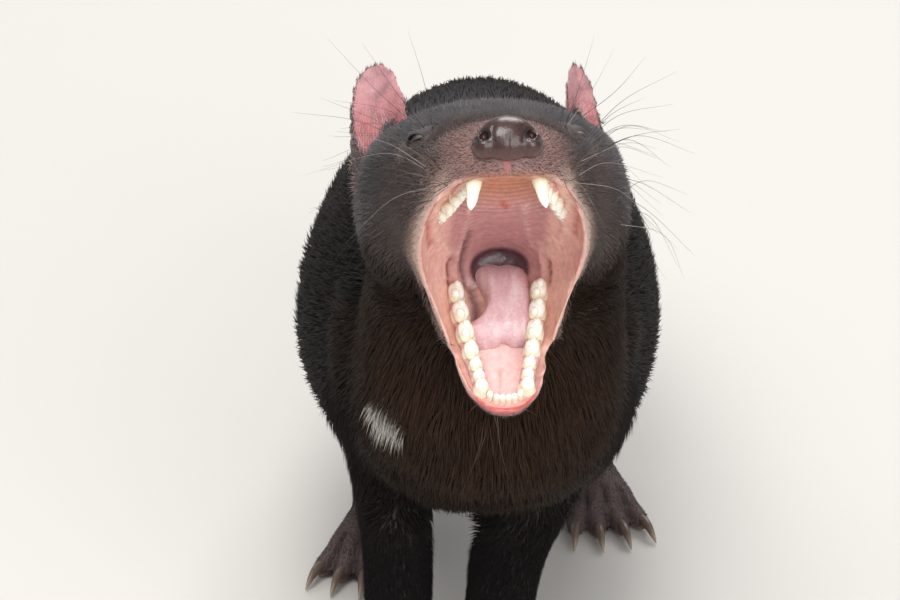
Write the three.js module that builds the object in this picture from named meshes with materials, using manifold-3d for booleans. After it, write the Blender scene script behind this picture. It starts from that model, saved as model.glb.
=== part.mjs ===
// A Tasmanian devil that stands with its head raised and its jaws wide open, at life size.
// Millimetres, +Z up. It faces -Y, and its own left side is towards +X.
import * as THREE from "three";
import { mergeVertices } from "three/addons/utils/BufferGeometryUtils.js";
import Module from "manifold-3d";

const wasm = await Module();
wasm.setup();

// Driving dimensions
const GAP = 0.3; // between touching pieces
const HEAD_PITCH = 43; // degrees that the palate is raised above level
const HEAD_YAW = 4; // degrees that the muzzle turns to the animal's left
const HEAD_AT = [9.5, -127, 352]; // front of the palate
const GAPE = 75; // degrees between the jaws
const JAW_HINGE = [0, 100, 7]; // in the head's own frame, as are all places on the head
const EYE_AT = [34, 58, 25.5];
const EYE_RADIUS = 6.4;
const EAR_HEIGHT = 50;
const CLAW_LENGTH = 13;

const V = (x, y, z) => new THREE.Vector3(x, y, z);
const radians = THREE.MathUtils.degToRad;
const mirrored = ([x, y, z]) => [-x, y, z];

const skinOf = (color, roughness) =>
  new THREE.MeshStandardMaterial({ color, roughness, metalness: 0 });
const COAT = skinOf(0x1d1a19, 0.85);
const BROWN_COAT = skinOf(0x3a2a22, 0.85);
const FACE = skinOf(0x4a4446, 0.8);
const BARE_SKIN = skinOf(0xb98a86, 0.6);
const EAR_SKIN = skinOf(0xb8767a, 0.7);
const NOSE_PAD = skinOf(0x2b1a18, 0.2);
const GUM = skinOf(0xd9988c, 0.35);
const TONGUE = skinOf(0xc9959c, 0.45);
const EYE = skinOf(0x120c0a, 0.08);

// A closed solid from a geometry whose seams are merged.
function solid(geometry) {
  const g = geometry.clone();
  for (const name of Object.keys(g.attributes)) {
    if (name !== "position") g.deleteAttribute(name);
  }
  const merged = mergeVertices(g, 1e-4);
  return new wasm.Manifold(
    new wasm.Mesh({
      numProp: 3,
      vertProperties: new Float32Array(merged.attributes.position.array),
      triVerts: new Uint32Array(merged.index.array),
    }),
  );
}

function union(...solids) {
  return solids.reduce((a, b) => a.add(b));
}

// The largest closed surface of a solid, which drops loose scraps and fills sealed hollows.
function largest(body) {
  return body.decompose().sort((a, b) => b.volume() - a.volume())[0];
}

// A mesh with its own origin at pivot, from a solid in the animal's frame.
function part(name, body, material, pivot = [0, 0, 0]) {
  const mesh = largest(body).getMesh();
  const at = new Float32Array(mesh.numVert * 3);
  for (let i = 0; i < mesh.numVert; i++) {
    at.set(mesh.vertProperties.subarray(i * mesh.numProp, i * mesh.numProp + 3), i * 3);
  }
  const geometry = new THREE.BufferGeometry()
    .setAttribute("position", new THREE.BufferAttribute(at, 3))
    .setIndex(new THREE.BufferAttribute(mesh.triVerts, 1))
    .translate(-pivot[0], -pivot[1], -pivot[2]);
  geometry.computeVertexNormals();
  const made = new THREE.Mesh(geometry, material);
  made.name = name;
  made.position.set(...pivot);
  return made;
}

function middleOf(points) {
  return points.reduce((sum, p) => sum.add(p), V(0, 0, 0)).divideScalar(points.length);
}

// A closed skin over rings of points, each with the same count, with a fan at both ends.
function skinOver(rings) {
  const sides = rings[0].length;
  const points = rings.flat();
  points.push(middleOf(rings[0]), middleOf(rings.at(-1)));
  const faces = [];
  for (let k = 0; k < sides; k++) {
    const next = (k + 1) % sides;
    for (let r = 0; r + 1 < rings.length; r++) {
      const [a, b] = [r * sides + k, r * sides + next];
      faces.push(a, b, a + sides, b, b + sides, a + sides);
    }
    const last = (rings.length - 1) * sides;
    faces.push(next, k, points.length - 2, last + k, last + next, points.length - 1);
  }
  const geometry = new THREE.BufferGeometry().setFromPoints(points);
  geometry.setIndex(faces);
  return geometry;
}

// One ring of a loft: a superellipse across the direction of travel, with one power above and one below.
// side is the direction of its width.
function ringAt(centre, along, side, size, sides, [powerAbove, powerBelow]) {
  const across = side.clone().addScaledVector(along, -side.dot(along)).normalize();
  const above = along.clone().cross(across);
  return Array.from({ length: sides }, (_, k) => {
    const turn = (2 * Math.PI * k) / sides;
    const [c, s] = [Math.cos(turn), Math.sin(turn)];
    const power = s > 0 ? powerAbove : powerBelow;
    const out = (value) => Math.sign(value) * Math.abs(value) ** (2 / power);
    return centre
      .clone()
      .addScaledVector(across, out(c) * size.x)
      .addScaledVector(above, out(s) * (s > 0 ? size.y : size.z));
  });
}

// A smooth loft through stations {at, wide, above, below}. Travelling forwards, above is up; travelling down,
// it is forwards. grow adds to every half size. The steps lie evenly between the stations.
function loft(stations, { sides = 16, steps = 12, power = 2.2, grow = 0, side = V(1, 0, 0) } = {}) {
  const powers = [power].flat().length > 1 ? power : [power, power];
  const line = new THREE.CatmullRomCurve3(stations.map((s) => V(...s.at)), false, "catmullrom", 0.5);
  const sizes = new THREE.CatmullRomCurve3(
    stations.map((s) => V(s.wide, s.above, s.below)), false, "catmullrom", 0.5,
  );
  const rings = [];
  for (let i = 0; i <= steps; i++) {
    const t = i / steps;
    const size = sizes.getPoint(t).addScalar(grow);
    rings.push(ringAt(line.getPoint(t), line.getTangent(t), side, size, sides, powers));
  }
  return solid(skinOver(rings));
}

const station = (at, wide, above, below = above) => ({ at, wide, above, below });

function ball(centre, radii, [around, high] = [16, 10]) {
  return solid(new THREE.SphereGeometry(1, around, high).scale(...radii).translate(...centre));
}

// A block that fills all within reach of a plane, on the side that its normal points to.
function beyond(point, normal, thick = 600, reach = 700) {
  const turn = new THREE.Quaternion().setFromUnitVectors(V(0, 0, 1), V(...normal).normalize());
  const block = new THREE.BoxGeometry(reach, reach, thick).translate(0, 0, thick / 2);
  return solid(block.applyQuaternion(turn).translate(...point));
}

// The part of a body on each side of a plane, with the gap between them: [behind, ahead] of the normal.
function parted(body, point, normal) {
  const way = V(...normal).normalize();
  const ahead = V(...point).addScaledVector(way, GAP);
  return [
    body.subtract(beyond(point, normal)),
    body.intersect(beyond(ahead.toArray(), normal)),
  ];
}

// The head's frame: -Y along the palate, +Z square to it, origin at the front of the palate.
const headFrame = new THREE.Matrix4().compose(
  V(...HEAD_AT),
  new THREE.Quaternion().setFromEuler(
    new THREE.Euler(radians(-HEAD_PITCH), 0, radians(HEAD_YAW), "ZXY"),
  ),
  V(1, 1, 1),
);
const placed = (body, frame = headFrame) => body.transform(frame.elements);
const worldPoint = (point) => V(...point).applyMatrix4(headFrame).toArray();
const worldWay = (way) => V(...way).transformDirection(headFrame).toArray();

// Turns the closed lower jaw about its hinge, in the head's frame.
const jawFrame = new THREE.Matrix4()
  .makeTranslation(...JAW_HINGE)
  .multiply(new THREE.Matrix4().makeRotationX(radians(GAPE)))
  .multiply(new THREE.Matrix4().makeTranslation(...JAW_HINGE.map((v) => -v)));

// Trunk, neck and tail

// From the tail's tip, over the rump and the withers, up the neck to the skull.
const SPINE = [
  station([14, 548, 25], 7, 7),
  station([11, 506, 35], 13, 13),
  station([7, 450, 57], 19, 18),
  station([3, 392, 92], 25, 22, 24),
  station([1, 344, 128], 33, 29, 29),
  station([0, 300, 146], 57, 46, 37),
  station([0, 250, 146], 74, 71, 41),
  station([-1, 200, 143], 84, 97, 43),
  station([-2, 145, 141], 91, 112, 46),
  station([-2, 90, 146], 87, 112, 50),
  station([0, 42, 164], 76, 100, 70),
  station([3, 6, 194], 66, 76, 78),
  station([5, -13, 236], 62, 60, 57),
  station([6, -28, 270], 61, 54, 46),
  station([7, -40, 294], 54, 44, 38),
];

// The nape, from the withers up to the back of the skull.
const NAPE = [
  station([0, 165, 186], 50, 40, 40),
  station([1, 110, 206], 62, 42, 50),
  station([3, 62, 228], 60, 38, 50),
  station([5, 22, 252], 56, 37, 46),
  station([6, -12, 276], 52, 38, 40),
  station([7, -36, 292], 46, 34, 36),
];

function spine(grow = 0) {
  const trunk = loft(SPINE, { sides: 22, steps: 33, power: [1.85, 2.3], grow });
  return trunk.add(loft(NAPE, { sides: 18, steps: 10, power: 2, grow }));
}

// Head

const SKULL = [
  station([0, 150, 14], 52, 38, 42),
  station([0, 128, 13], 61, 46, 50),
  station([0, 105, 11], 65, 50, 46),
  station([0, 84, 9], 60, 46, 40),
  station([0, 62, 8], 48, 36, 33),
  station([0, 42, 7], 39, 27, 27),
  station([0, 24, 6], 33, 21, 21),
  station([0, 10, 5], 26.5, 17, 16),
  station([0, 1, 5], 19, 13, 12.5),
  station([0, -3.5, 5], 9, 7, 7),
];

// The lower jaw as it lies when the mouth is closed.
const JAW = [
  station([0, 106, -17], 48, 14, 26),
  station([0, 84, -14], 40, 12, 26),
  station([0, 60, -10], 31, 8, 24),
  station([0, 43, -10], 26, 6, 19),
  station([0, 30, -10], 23, 5.5, 15),
  station([0, 17, -10], 20, 5, 11.5),
  station([0, 8, -9.5], 16.5, 4.5, 7.5),
  station([0, 1, -8.2], 10.5, 3.8, 4.3),
  station([0, -2, -7.6], 5.5, 2.8, 2.4),
];

// The cheeks, as slices that fan about the hinge from the upper jaw to the lower:
// [degrees below the palate, reach, half width at the lips, half width at the hinge].
const CHEEK = [
  [-6, 66, 33, 57],
  [13, 76, 31.5, 60],
  [20, 68, 38, 60],
  [30, 56, 42, 58],
  [42, 48, 43, 56],
  [54, 46, 41, 53],
  [64, 48, 37, 50],
  [72, 51, 33.5, 48],
  [80, 55, 31, 45],
  [87, 65, 27.5, 43],
  [94, 62, 28, 40],
];
const CHEEK_BACK = 30;
const CHEEK_STEPS = 6;

function cheeks(grow) {
  const rings = CHEEK.map(([degrees, reach, lip, hinge]) => {
    const turn = radians(degrees);
    const side = Array.from({ length: CHEEK_STEPS + 1 }, (_, i) => {
      const far = (i / CHEEK_STEPS) * (reach + CHEEK_BACK + 2 * grow) - CHEEK_BACK - grow;
      const taper = Math.max(far, 0) / (reach + grow);
      const wide = hinge + (lip - hinge) * taper ** 1.2 + grow;
      return [wide, -far * Math.cos(turn), -far * Math.sin(turn)];
    });
    const ring = [...side, ...side.map(mirrored).reverse()];
    return ring.map((p) => V(...p).add(V(...JAW_HINGE)));
  });
  return solid(skinOver(rings));
}

function headOuter(grow = 0) {
  return union(
    loft(SKULL, { sides: 22, steps: 17, power: [2.2, 2.5], grow }),
    placed(loft(JAW, { sides: 18, steps: 11, power: 2.5, grow }), jawFrame),
    cheeks(grow),
  );
}

// The line of the lips, from the middle of the upper lip round the animal's left corner to the chin.
const LIP_LINE = [
  [0, 2, -6.5],
  [11.5, 4, -6],
  [18.5, 9, -6.5],
  [24, 16, -7.6],
  [30.5, 27, -10],
  [36, 38, -14],
  [39, 52, -19.5],
  [39.5, 66, -24],
  [36, 79, -34.5],
  [30, 90, -44],
  [25.5, 97, -55],
  [22, 96, -65],
  [18.8, 93, -77],
  [15.5, 90.5, -85],
  [9, 87, -91],
  [0, 85.7, -93.5],
];
const THROAT = { at: [2, 113, -17], wide: 13, high: 10 };
const MOUTH_SIDES = 32;
// The rings of the mouth's wall, as [share of the way from the lips to the throat, swelling].
const MOUTH_RINGS = [
  [0, 1],
  [0.05, 1.05],
  [0.12, 1.12],
  [0.3, 1.18],
  [0.6, 1.2],
  [0.88, 1.06],
  [1, 1],
];

function lipRing() {
  const left = LIP_LINE.map((p) => V(...p));
  const right = LIP_LINE.slice(1, -1).reverse().map((p) => V(...mirrored(p)));
  const line = new THREE.CatmullRomCurve3([...left, ...right], true, "centripetal");
  return line.getSpacedPoints(MOUTH_SIDES).slice(0, MOUTH_SIDES);
}

// The hollow of the mouth as a solid, from ahead of the lips back to the throat. grow pushes its walls out.
function mouthHollow(grow = 0) {
  const lips = lipRing();
  const ahead = V(0, -Math.cos(radians(GAPE / 2)), -Math.sin(radians(GAPE / 2)));
  const throat = lips.map((_, k) => {
    const turn = Math.PI / 2 - (2 * Math.PI * k) / MOUTH_SIDES;
    return V(THROAT.wide * Math.cos(turn), 0, THROAT.high * Math.sin(turn)).add(V(...THROAT.at));
  });
  const rings = MOUTH_RINGS.map(([share, swell]) => {
    const ring = lips.map((lip, k) => lip.clone().lerp(throat[k], share));
    const middle = middleOf(ring);
    return ring.map((p) => p.sub(middle).multiplyScalar(swell).add(middle));
  });
  rings.unshift(rings[0].map((p) => p.clone().addScaledVector(ahead, 60)));
  const grown = rings.map((ring) => {
    const middle = middleOf(ring);
    return ring.map((p) => p.clone().add(p.clone().sub(middle).setLength(grow)));
  });
  return solid(skinOver(grown));
}

// The gum of each jaw, seen square to the jaw: from the middle of the jaw back to the last molar.
const UPPER_GUM = {
  row: [[0, 6], [8, 7], [14, 11], [17.5, 20], [21, 33], [25, 47], [27.5, 60], [28, 68]],
  wide: 4.2, high: 3.2, level: -4, up: -1,
};
const LOWER_GUM = {
  row: [[0, 5.5], [5.5, 6.5], [10, 11], [12.5, 18], [15, 26], [18, 37], [20, 47], [21.5, 57], [22, 66]],
  wide: 3.6, high: 3.5, level: -10, up: 1,
};

// Teeth of one side, as [sideways, back, half width, half length, height, point, lean forward, lean outward].
const UPPER_TEETH = [
  [1.6, 6, 1.2, 1.4, 3.5, 0.6, 0, 0],
  [4.6, 6.3, 1.2, 1.4, 3.5, 0.6, 0, 0],
  [7.6, 7, 1.2, 1.4, 3.8, 0.6, 0, 0],
  [14, 11.5, 3, 3.6, 15.6, 0.25, 1, 2.5],
  [17.3, 20, 2.2, 2.6, 6.5, 0.6, 0, 0],
  [18.8, 26, 2.5, 3, 7.5, 0.6, 0, 0],
  [21, 33.5, 3.3, 3.9, 8.5, 0.55, 0, 0],
  [23.7, 43, 3.8, 4.5, 9.5, 0.55, 0, 0],
  [26.2, 53, 4, 4.6, 9, 0.55, 0, 0],
  [27.6, 61.5, 3.6, 2.8, 7.5, 0.6, 0, 0],
];
const LOWER_TEETH = [
  [1.4, 5.5, 1.2, 1.3, 9, 0.75, 4, 0],
  [4.1, 6, 1.2, 1.3, 9, 0.75, 4, 0.5],
  [6.7, 7, 1.3, 1.4, 9, 0.75, 3.5, 1],
  [10.3, 11, 3.1, 3.4, 12.5, 0.5, 3, 1],
  [11.9, 16.5, 2.3, 2.4, 8.5, 0.7, 1, 0],
  [13.2, 21, 2.5, 2.6, 9, 0.7, 1, 0],
  [15.2, 28, 3, 3.9, 10, 0.65, 1, 0],
  [17.8, 37.5, 3.3, 4.5, 10.5, 0.65, 1, 0],
  [20, 47.5, 3.4, 4.7, 10.5, 0.65, 1, 0],
  [21.7, 58, 3.5, 4.8, 10.5, 0.65, 1, 0],
];
const TOOTH_ROOT = 2;

// A tooth that tapers from its root on the gum's level, with its long side along the row.
function tooth([, , wide, long, high, point, forward, outward], along, up) {
  const rings = [0, 0.55, 1].map((share) => {
    const size = 1 - (1 - point) * share ** 1.6;
    const lean = share ** 1.5;
    const z = up * (share * (high + TOOTH_ROOT) - TOOTH_ROOT);
    return Array.from({ length: 5 }, (_, k) => {
      const turn = (up * 2 * Math.PI * k) / 5;
      const spot = V(0, 0, z).addScaledVector(along, Math.cos(turn) * long * size);
      spot.addScaledVector(V(-along.y, along.x, 0), Math.sin(turn) * wide * size);
      return spot.add(V(outward * lean, -forward * lean, 0));
    });
  });
  return skinOver(rings);
}

// A gum arch with its teeth, square to its jaw. up is 1 where the teeth point up.
function toothArch(gum, teeth) {
  const side = gum.row.map(([x, y]) => V(x, y, 0));
  const half = new THREE.CatmullRomCurve3(side);
  const line = new THREE.CatmullRomCurve3([...side.slice(1).reverse().map((p) => V(-p.x, p.y, 0)), ...side]);
  const size = V(gum.wide, gum.high, gum.high);
  const rings = [];
  const steps = 18;
  for (let i = 0; i <= steps; i++) {
    const along = line.getTangent(i / steps);
    const across = V(0, 0, 1).cross(along);
    rings.push(ringAt(line.getPoint(i / steps), along, across, size, 6, [2.4, 2.4]));
  }
  let arch = solid(skinOver(rings));
  for (const row of teeth) {
    const spot = V(row[0], row[1], 0);
    let nearest = 0;
    for (let t = 0; t <= 1; t += 0.02) {
      if (half.getPoint(t).distanceTo(spot) < half.getPoint(nearest).distanceTo(spot)) nearest = t;
    }
    const one = solid(tooth(row, half.getTangent(nearest), gum.up).translate(row[0], row[1], 0));
    arch = arch.add(one).add(one.mirror([1, 0, 0]));
  }
  return arch.translate([0, 0, gum.level]);
}

// The tongue, in the closed jaw's frame.
const TONGUE_LINE = [
  station([0, 98, -26], 12, 8),
  station([0, 86, -19], 14, 8),
  station([0, 74, -13.5], 14.5, 8),
  station([0, 60, -10.5], 14, 7.5),
  station([0, 48, -10], 14.5, 6),
  station([0, 38, -11], 14, 4.5),
];

// Ears: a cup, open forwards and outwards, that stands on the side of the crown.
const EARS = {
  left: { at: [46, 112, 36], out: -2, back: 14, turn: 52 }, // degrees
  right: { at: [49, 111, 38], out: 1, back: 12, turn: 22 },
};
const EAR_ROWS = 7;
const EAR_COLUMNS = 8;
const EAR_THICK = 3;

function ear(hand) {
  const pose = hand > 0 ? EARS.left : EARS.right;
  const halfWidth = (v) => 21 * (1 - v) ** 0.42 * (0.78 + 0.5 * v);
  const depth = (v) => 11 * (1 - v * 0.8);
  const rings = [];
  for (let i = 0; i <= EAR_ROWS; i++) {
    const v = Math.min(i / EAR_ROWS, 0.985);
    const outer = [];
    const inner = [];
    for (let j = 0; j <= EAR_COLUMNS; j++) {
      const u = 1 - (2 * j) / EAR_COLUMNS;
      const [x, y] = [u * halfWidth(v), depth(v) * (1 - u * u)];
      const z = -14 + v * (EAR_HEIGHT + 14);
      outer.push(V(x, y, z));
      const thin = EAR_THICK * (1 - 0.5 * v);
      if (j > 0 && j < EAR_COLUMNS) inner.unshift(V(x * 0.93, y - thin, z));
    }
    rings.push([...outer, ...inner]);
  }
  const shell = skinOver(rings);
  shell.applyQuaternion(
    new THREE.Quaternion().setFromEuler(
      new THREE.Euler(radians(-pose.back), radians(pose.out), radians(pose.turn), "XYZ"),
    ),
  );
  shell.translate(...pose.at);
  const body = solid(shell);
  return hand > 0 ? body : body.mirror([1, 0, 0]);
}

// The eye, the bulge of its lids and the slit between them
const EYE_LOOK = { out: 38, up: 12 }; // degrees from straight ahead
const LID_THICK = 2.2;
const SLIT = { wide: 7.5, high: 2.1, deep: 9 };

function eyeParts(hand) {
  const at = hand > 0 ? EYE_AT : mirrored(EYE_AT);
  const lids = EYE_RADIUS + LID_THICK;
  const slit = new THREE.SphereGeometry(1, 12, 8)
    .scale(SLIT.wide, SLIT.deep, SLIT.high)
    .translate(0, -EYE_RADIUS, 0)
    .rotateX(radians(-EYE_LOOK.up))
    .rotateZ(radians(hand * EYE_LOOK.out))
    .translate(...at);
  return {
    ball: ball(at, [EYE_RADIUS, EYE_RADIUS, EYE_RADIUS], [12, 8]),
    lids: ball(at, [lids, lids, lids], [12, 8]),
    socket: ball(at, Array(3).fill(EYE_RADIUS + GAP), [12, 8]),
    slit: solid(slit),
  };
}

// The nose pad and its nostrils
const NOSE = { at: [0, -4, 8.5], wide: 13.5, deep: 8, high: 10.5 };
const NOSE_WING = { at: [10, -4, 5.5], wide: 6.2, deep: 6.6, high: 6.4 };
const NOSTRIL = { at: [10.4, -11, 9], wide: 2.4, deep: 6, high: 2.8 };

function nosePad() {
  const oval = ({ at, wide, deep, high }, hand = 1, rounds = [14, 10]) =>
    ball([hand * at[0], at[1], at[2]], [wide, deep, high], rounds);
  const pad = union(oval(NOSE, 1, [16, 12]), oval(NOSE_WING, 1, [10, 8]), oval(NOSE_WING, -1, [10, 8]));
  return pad.subtract(oval(NOSTRIL, 1, [8, 6])).subtract(oval(NOSTRIL, -1, [8, 6]));
}

// Legs

// A foot: a pad with toes and claws fanned ahead of it. It stands on the floor.
function foot({ heel, palm, toes, spread, toeLength, toeRadius, wide, high }) {
  const direction = V(palm[0] - heel[0], palm[1] - heel[1], 0).normalize();
  const across = V(-direction.y, direction.x, 0);
  const base = V(palm[0], palm[1], 0);
  const ahead = base.clone().addScaledVector(direction, 8).setZ(high * 0.35);
  let made = loft(
    [
      station([heel[0], heel[1], heel[2]], wide * 0.62, high * 0.62, heel[2] + 2),
      station([(heel[0] + palm[0]) / 2, (heel[1] + palm[1]) / 2, high * 0.5], wide * 0.8, high * 0.62, high),
      station([palm[0], palm[1], high * 0.45], wide, high * 0.5, high),
      station(ahead.toArray(), wide * 0.9, high * 0.3, high),
    ],
    { sides: 12, steps: 5, side: across },
  );
  for (let i = 0; i < toes; i++) {
    const place = toes > 1 ? (2 * i) / (toes - 1) - 1 : 0;
    const fan = direction.clone().applyAxisAngle(V(0, 0, 1), radians(place * spread));
    const root = base.clone().addScaledVector(across, place * (wide - toeRadius * 0.9)).setZ(toeRadius * 1.5);
    const length = toeLength * (1 - 0.18 * place * place);
    const point = (far, z) => root.clone().addScaledVector(fan, far).setZ(z).toArray();
    const toe = loft(
      [
        station(point(-6, toeRadius * 1.7), toeRadius * 0.9, toeRadius, toeRadius * 1.8),
        station(point(length * 0.45, toeRadius * 1.5), toeRadius, toeRadius * 0.95, toeRadius * 1.8),
        station(point(length * 0.8, toeRadius), toeRadius * 1.05, toeRadius * 0.9, toeRadius * 1.2),
        station(point(length, toeRadius * 0.8), toeRadius * 0.6, toeRadius * 0.5, toeRadius * 0.9),
      ],
      { sides: 7, steps: 4, side: V(-fan.y, fan.x, 0) },
    );
    const claw = loft(
      [
        station(point(length * 0.7, toeRadius * 1.15), 2.2, 2.6),
        station(point(length + CLAW_LENGTH * 0.3, toeRadius * 1.15), 1.9, 2.3),
        station(point(length + CLAW_LENGTH * 0.7, toeRadius * 0.75), 1.2, 1.5),
        station(point(length + CLAW_LENGTH, 1.4), 0.4, 0.5),
      ],
      { sides: 4, steps: 4, side: V(-fan.y, fan.x, 0) },
    );
    made = made.add(toe).add(claw);
  }
  return made.subtract(beyond([0, 0, 0], [0, 0, -1]));
}

const LEGS = {
  foreleg_left: {
    stations: [
      station([46, 36, 200], 30, 34, 36),
      station([46, 30, 172], 28, 38, 38),
      station([36, 27, 140], 26, 30, 32),
      station([24, 22, 112], 24, 22, 26),
      station([13, 10, 86], 20, 18, 20),
      station([8, 0, 60], 17.5, 17, 17),
      station([6, -6, 34], 16, 15, 15),
      station([7, -12, 14], 15.5, 16, 14),
    ],
    elbow: [30, 24, 118],
    wrist: [6, -4, 32],
    foot: {
      heel: [7, -4, 14], palm: [8, -25, 0], toes: 5, spread: 14, toeLength: 19,
      toeRadius: 4.6, wide: 18.5, high: 22,
    },
  },
  foreleg_right: {
    stations: [
      station([-44, 36, 200], 30, 34, 36),
      station([-46, 30, 168], 28, 38, 38),
      station([-45, 27, 136], 24, 30, 30),
      station([-42, 22, 104], 20, 22, 24),
      station([-40, 6, 68], 17.5, 17, 18),
      station([-41, -4, 36], 16.5, 15, 15),
      station([-42, -10, 14], 16, 16, 14),
    ],
    elbow: [-44, 24, 118],
    wrist: [-41, -4, 32],
    foot: {
      heel: [-43, -2, 14], palm: [-45, -22, 0], toes: 5, spread: 14, toeLength: 19,
      toeRadius: 4.6, wide: 18.5, high: 22,
    },
  },
  hindleg_left: {
    stations: [
      station([34, 258, 172], 24, 30, 36),
      station([50, 240, 146], 28, 44, 46),
      station([59, 206, 120], 30, 40, 42),
      station([59, 202, 92], 22, 28, 27),
      station([56, 216, 62], 16.5, 18, 17),
      station([53, 224, 38], 14.5, 15, 13),
      station([53, 222, 18], 14, 16, 13),
    ],
    elbow: [58, 206, 104],
    wrist: [53, 224, 38],
    foot: {
      heel: [52, 229, 16], palm: [61, 185, 0], toes: 4, spread: 14, toeLength: 21,
      toeRadius: 5, wide: 18, high: 21,
    },
  },
  hindleg_right: {
    stations: [
      station([-34, 246, 174], 24, 30, 36),
      station([-50, 214, 148], 28, 44, 46),
      station([-59, 172, 122], 30, 40, 42),
      station([-57, 164, 92], 22, 28, 27),
      station([-53, 174, 62], 16.5, 18, 17),
      station([-51, 178, 38], 14.5, 15, 13),
      station([-51, 176, 18], 14, 16, 13),
    ],
    elbow: [-58, 168, 104],
    wrist: [-51, 178, 38],
    foot: {
      heel: [-50, 182, 16], palm: [-60, 137, 0], toes: 4, spread: 14, toeLength: 21,
      toeRadius: 5, wide: 18, high: 21,
    },
  },
};

const LEG_PARTS = {
  foreleg: ["upper_arm", "forearm", "forepaw"],
  hindleg: ["thigh", "shank", "hindfoot"],
};

function leg(name, trunk) {
  const { stations, elbow, wrist, foot: footSizes } = LEGS[name];
  const [kind, hand] = name.split("_");
  const limb = loft(stations, { sides: 14, steps: 14, power: 2.2 }).subtract(trunk);
  const [below, upper] = parted(limb, elbow, [0, 0, 1]);
  const [ankle, middle] = parted(below, wrist, [0, 0, 1]);
  const paw = ankle.add(foot(footSizes)).subtract(beyond([0, 0, 0], [0, 0, -1]));
  const names = LEG_PARTS[kind].map((piece) => piece + "_" + hand);
  return [
    part(names[0], upper, COAT, elbow),
    part(names[1], middle, COAT, wrist),
    part(names[2], paw.subtract(beyond(wrist, [0, 0, 1])), BARE_SKIN, [...footSizes.palm]),
  ];
}

// Assembly: the group's origin lies on the floor, under the middle of the animal's outline.
const animal = new THREE.Group();
const body = new THREE.Group();
const head = new THREE.Group();
animal.add(body);
body.add(head);

const trunkAndHead = largest(union(spine(), placed(headOuter())));
const NECK_CUT = { at: [0, 118, -6], way: [0, -1, 0.12] }; // in the head's frame
const TAIL_CUT = { at: [1, 344, 128], way: [0, -0.85, 0.53] };
const [behindHead, headAndJaw] = parted(trunkAndHead, worldPoint(NECK_CUT.at), worldWay(NECK_CUT.way));
const [torsoAndTail, neck] = parted(behindHead, [0, 24, 186], [0, -0.78, 0.62]);
const [tail, torso] = parted(torsoAndTail, TAIL_CUT.at, TAIL_CUT.way);

const eyes = [eyeParts(1), eyeParts(-1)];
let flesh = headAndJaw;
for (const eye of eyes) flesh = flesh.add(placed(eye.lids));
flesh = flesh.subtract(placed(mouthHollow()));
for (const eye of eyes) flesh = flesh.subtract(placed(eye.socket)).subtract(placed(eye.slit));
const bisector = radians(GAPE / 2);
const cheekCut = [0, -Math.sin(bisector), Math.cos(bisector)];
const [lowerJaw, upperHead] = parted(flesh, worldPoint(JAW_HINGE), worldWay(cheekCut));

const outline = union(placed(headOuter(GAP)), spine(GAP));
const room = mouthHollow(-GAP);
const upperArch = toothArch(UPPER_GUM, UPPER_TEETH);
const lowerArch = placed(toothArch(LOWER_GUM, LOWER_TEETH), jawFrame);
const tongue = placed(loft(TONGUE_LINE, { sides: 12, steps: 12, power: 2.3 }), jawFrame);

head.add(
  part("head", upperHead, FACE, worldPoint(JAW_HINGE)),
  part("lower_jaw", lowerJaw, FACE, worldPoint(JAW_HINGE)),
  part("upper_gum_and_teeth", placed(upperArch.intersect(room)), GUM, worldPoint([0, 0, 0])),
  part("lower_gum_and_teeth", placed(lowerArch.intersect(room)), GUM, worldPoint([0, 0, 0])),
  part("tongue", placed(tongue.intersect(room)), TONGUE, worldPoint(JAW_HINGE)),
  part("nose", placed(nosePad()).subtract(outline), NOSE_PAD, worldPoint(NOSE.at)),
  part("ear_left", placed(ear(1)).subtract(outline), EAR_SKIN, worldPoint(EARS.left.at)),
  part("ear_right", placed(ear(-1)).subtract(outline), EAR_SKIN, worldPoint(mirrored(EARS.right.at))),
  part("eye_left", placed(eyes[0].ball), EYE, worldPoint(EYE_AT)),
  part("eye_right", placed(eyes[1].ball), EYE, worldPoint(mirrored(EYE_AT))),
);
body.add(part("neck", neck, BROWN_COAT), part("torso", torso, COAT), part("tail", tail, COAT, TAIL_CUT.at));
const trunk = spine(GAP);
for (const name of Object.keys(LEGS)) body.add(...leg(name, trunk));

const middle = new THREE.Box3().setFromObject(body).getCenter(V(0, 0, 0));
body.position.set(-middle.x, -middle.y, 0);

export default animal;
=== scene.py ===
import math

import bpy
import numpy as np
from mathutils import Matrix, Vector, noise
from mathutils.bvhtree import BVHTree


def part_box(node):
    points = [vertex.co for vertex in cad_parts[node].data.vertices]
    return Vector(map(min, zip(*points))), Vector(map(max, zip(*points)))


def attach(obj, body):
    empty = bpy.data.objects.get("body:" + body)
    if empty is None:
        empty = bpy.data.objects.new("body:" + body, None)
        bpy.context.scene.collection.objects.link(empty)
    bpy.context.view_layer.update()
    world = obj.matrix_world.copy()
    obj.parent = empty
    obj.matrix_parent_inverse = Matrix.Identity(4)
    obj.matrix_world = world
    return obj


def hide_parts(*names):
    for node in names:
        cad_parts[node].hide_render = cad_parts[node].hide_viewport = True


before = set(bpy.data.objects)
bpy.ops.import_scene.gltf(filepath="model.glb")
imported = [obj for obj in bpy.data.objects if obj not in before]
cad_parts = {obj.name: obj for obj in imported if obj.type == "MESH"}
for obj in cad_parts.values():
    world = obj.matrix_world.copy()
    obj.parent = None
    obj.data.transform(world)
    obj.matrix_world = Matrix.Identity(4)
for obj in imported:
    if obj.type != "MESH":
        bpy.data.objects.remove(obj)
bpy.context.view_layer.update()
SEED = 7
rng = np.random.default_rng(SEED)
noise.seed_set(SEED)

MM = 0.001
FLESH = [
    "head", "lower_jaw", "neck", "torso", "tail", "ear_left", "ear_right",
    "upper_arm_left", "forearm_left", "forepaw_left", "upper_arm_right", "forearm_right", "forepaw_right",
    "thigh_left", "shank_left", "hindfoot_left", "thigh_right", "shank_right", "hindfoot_right",
]

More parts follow.
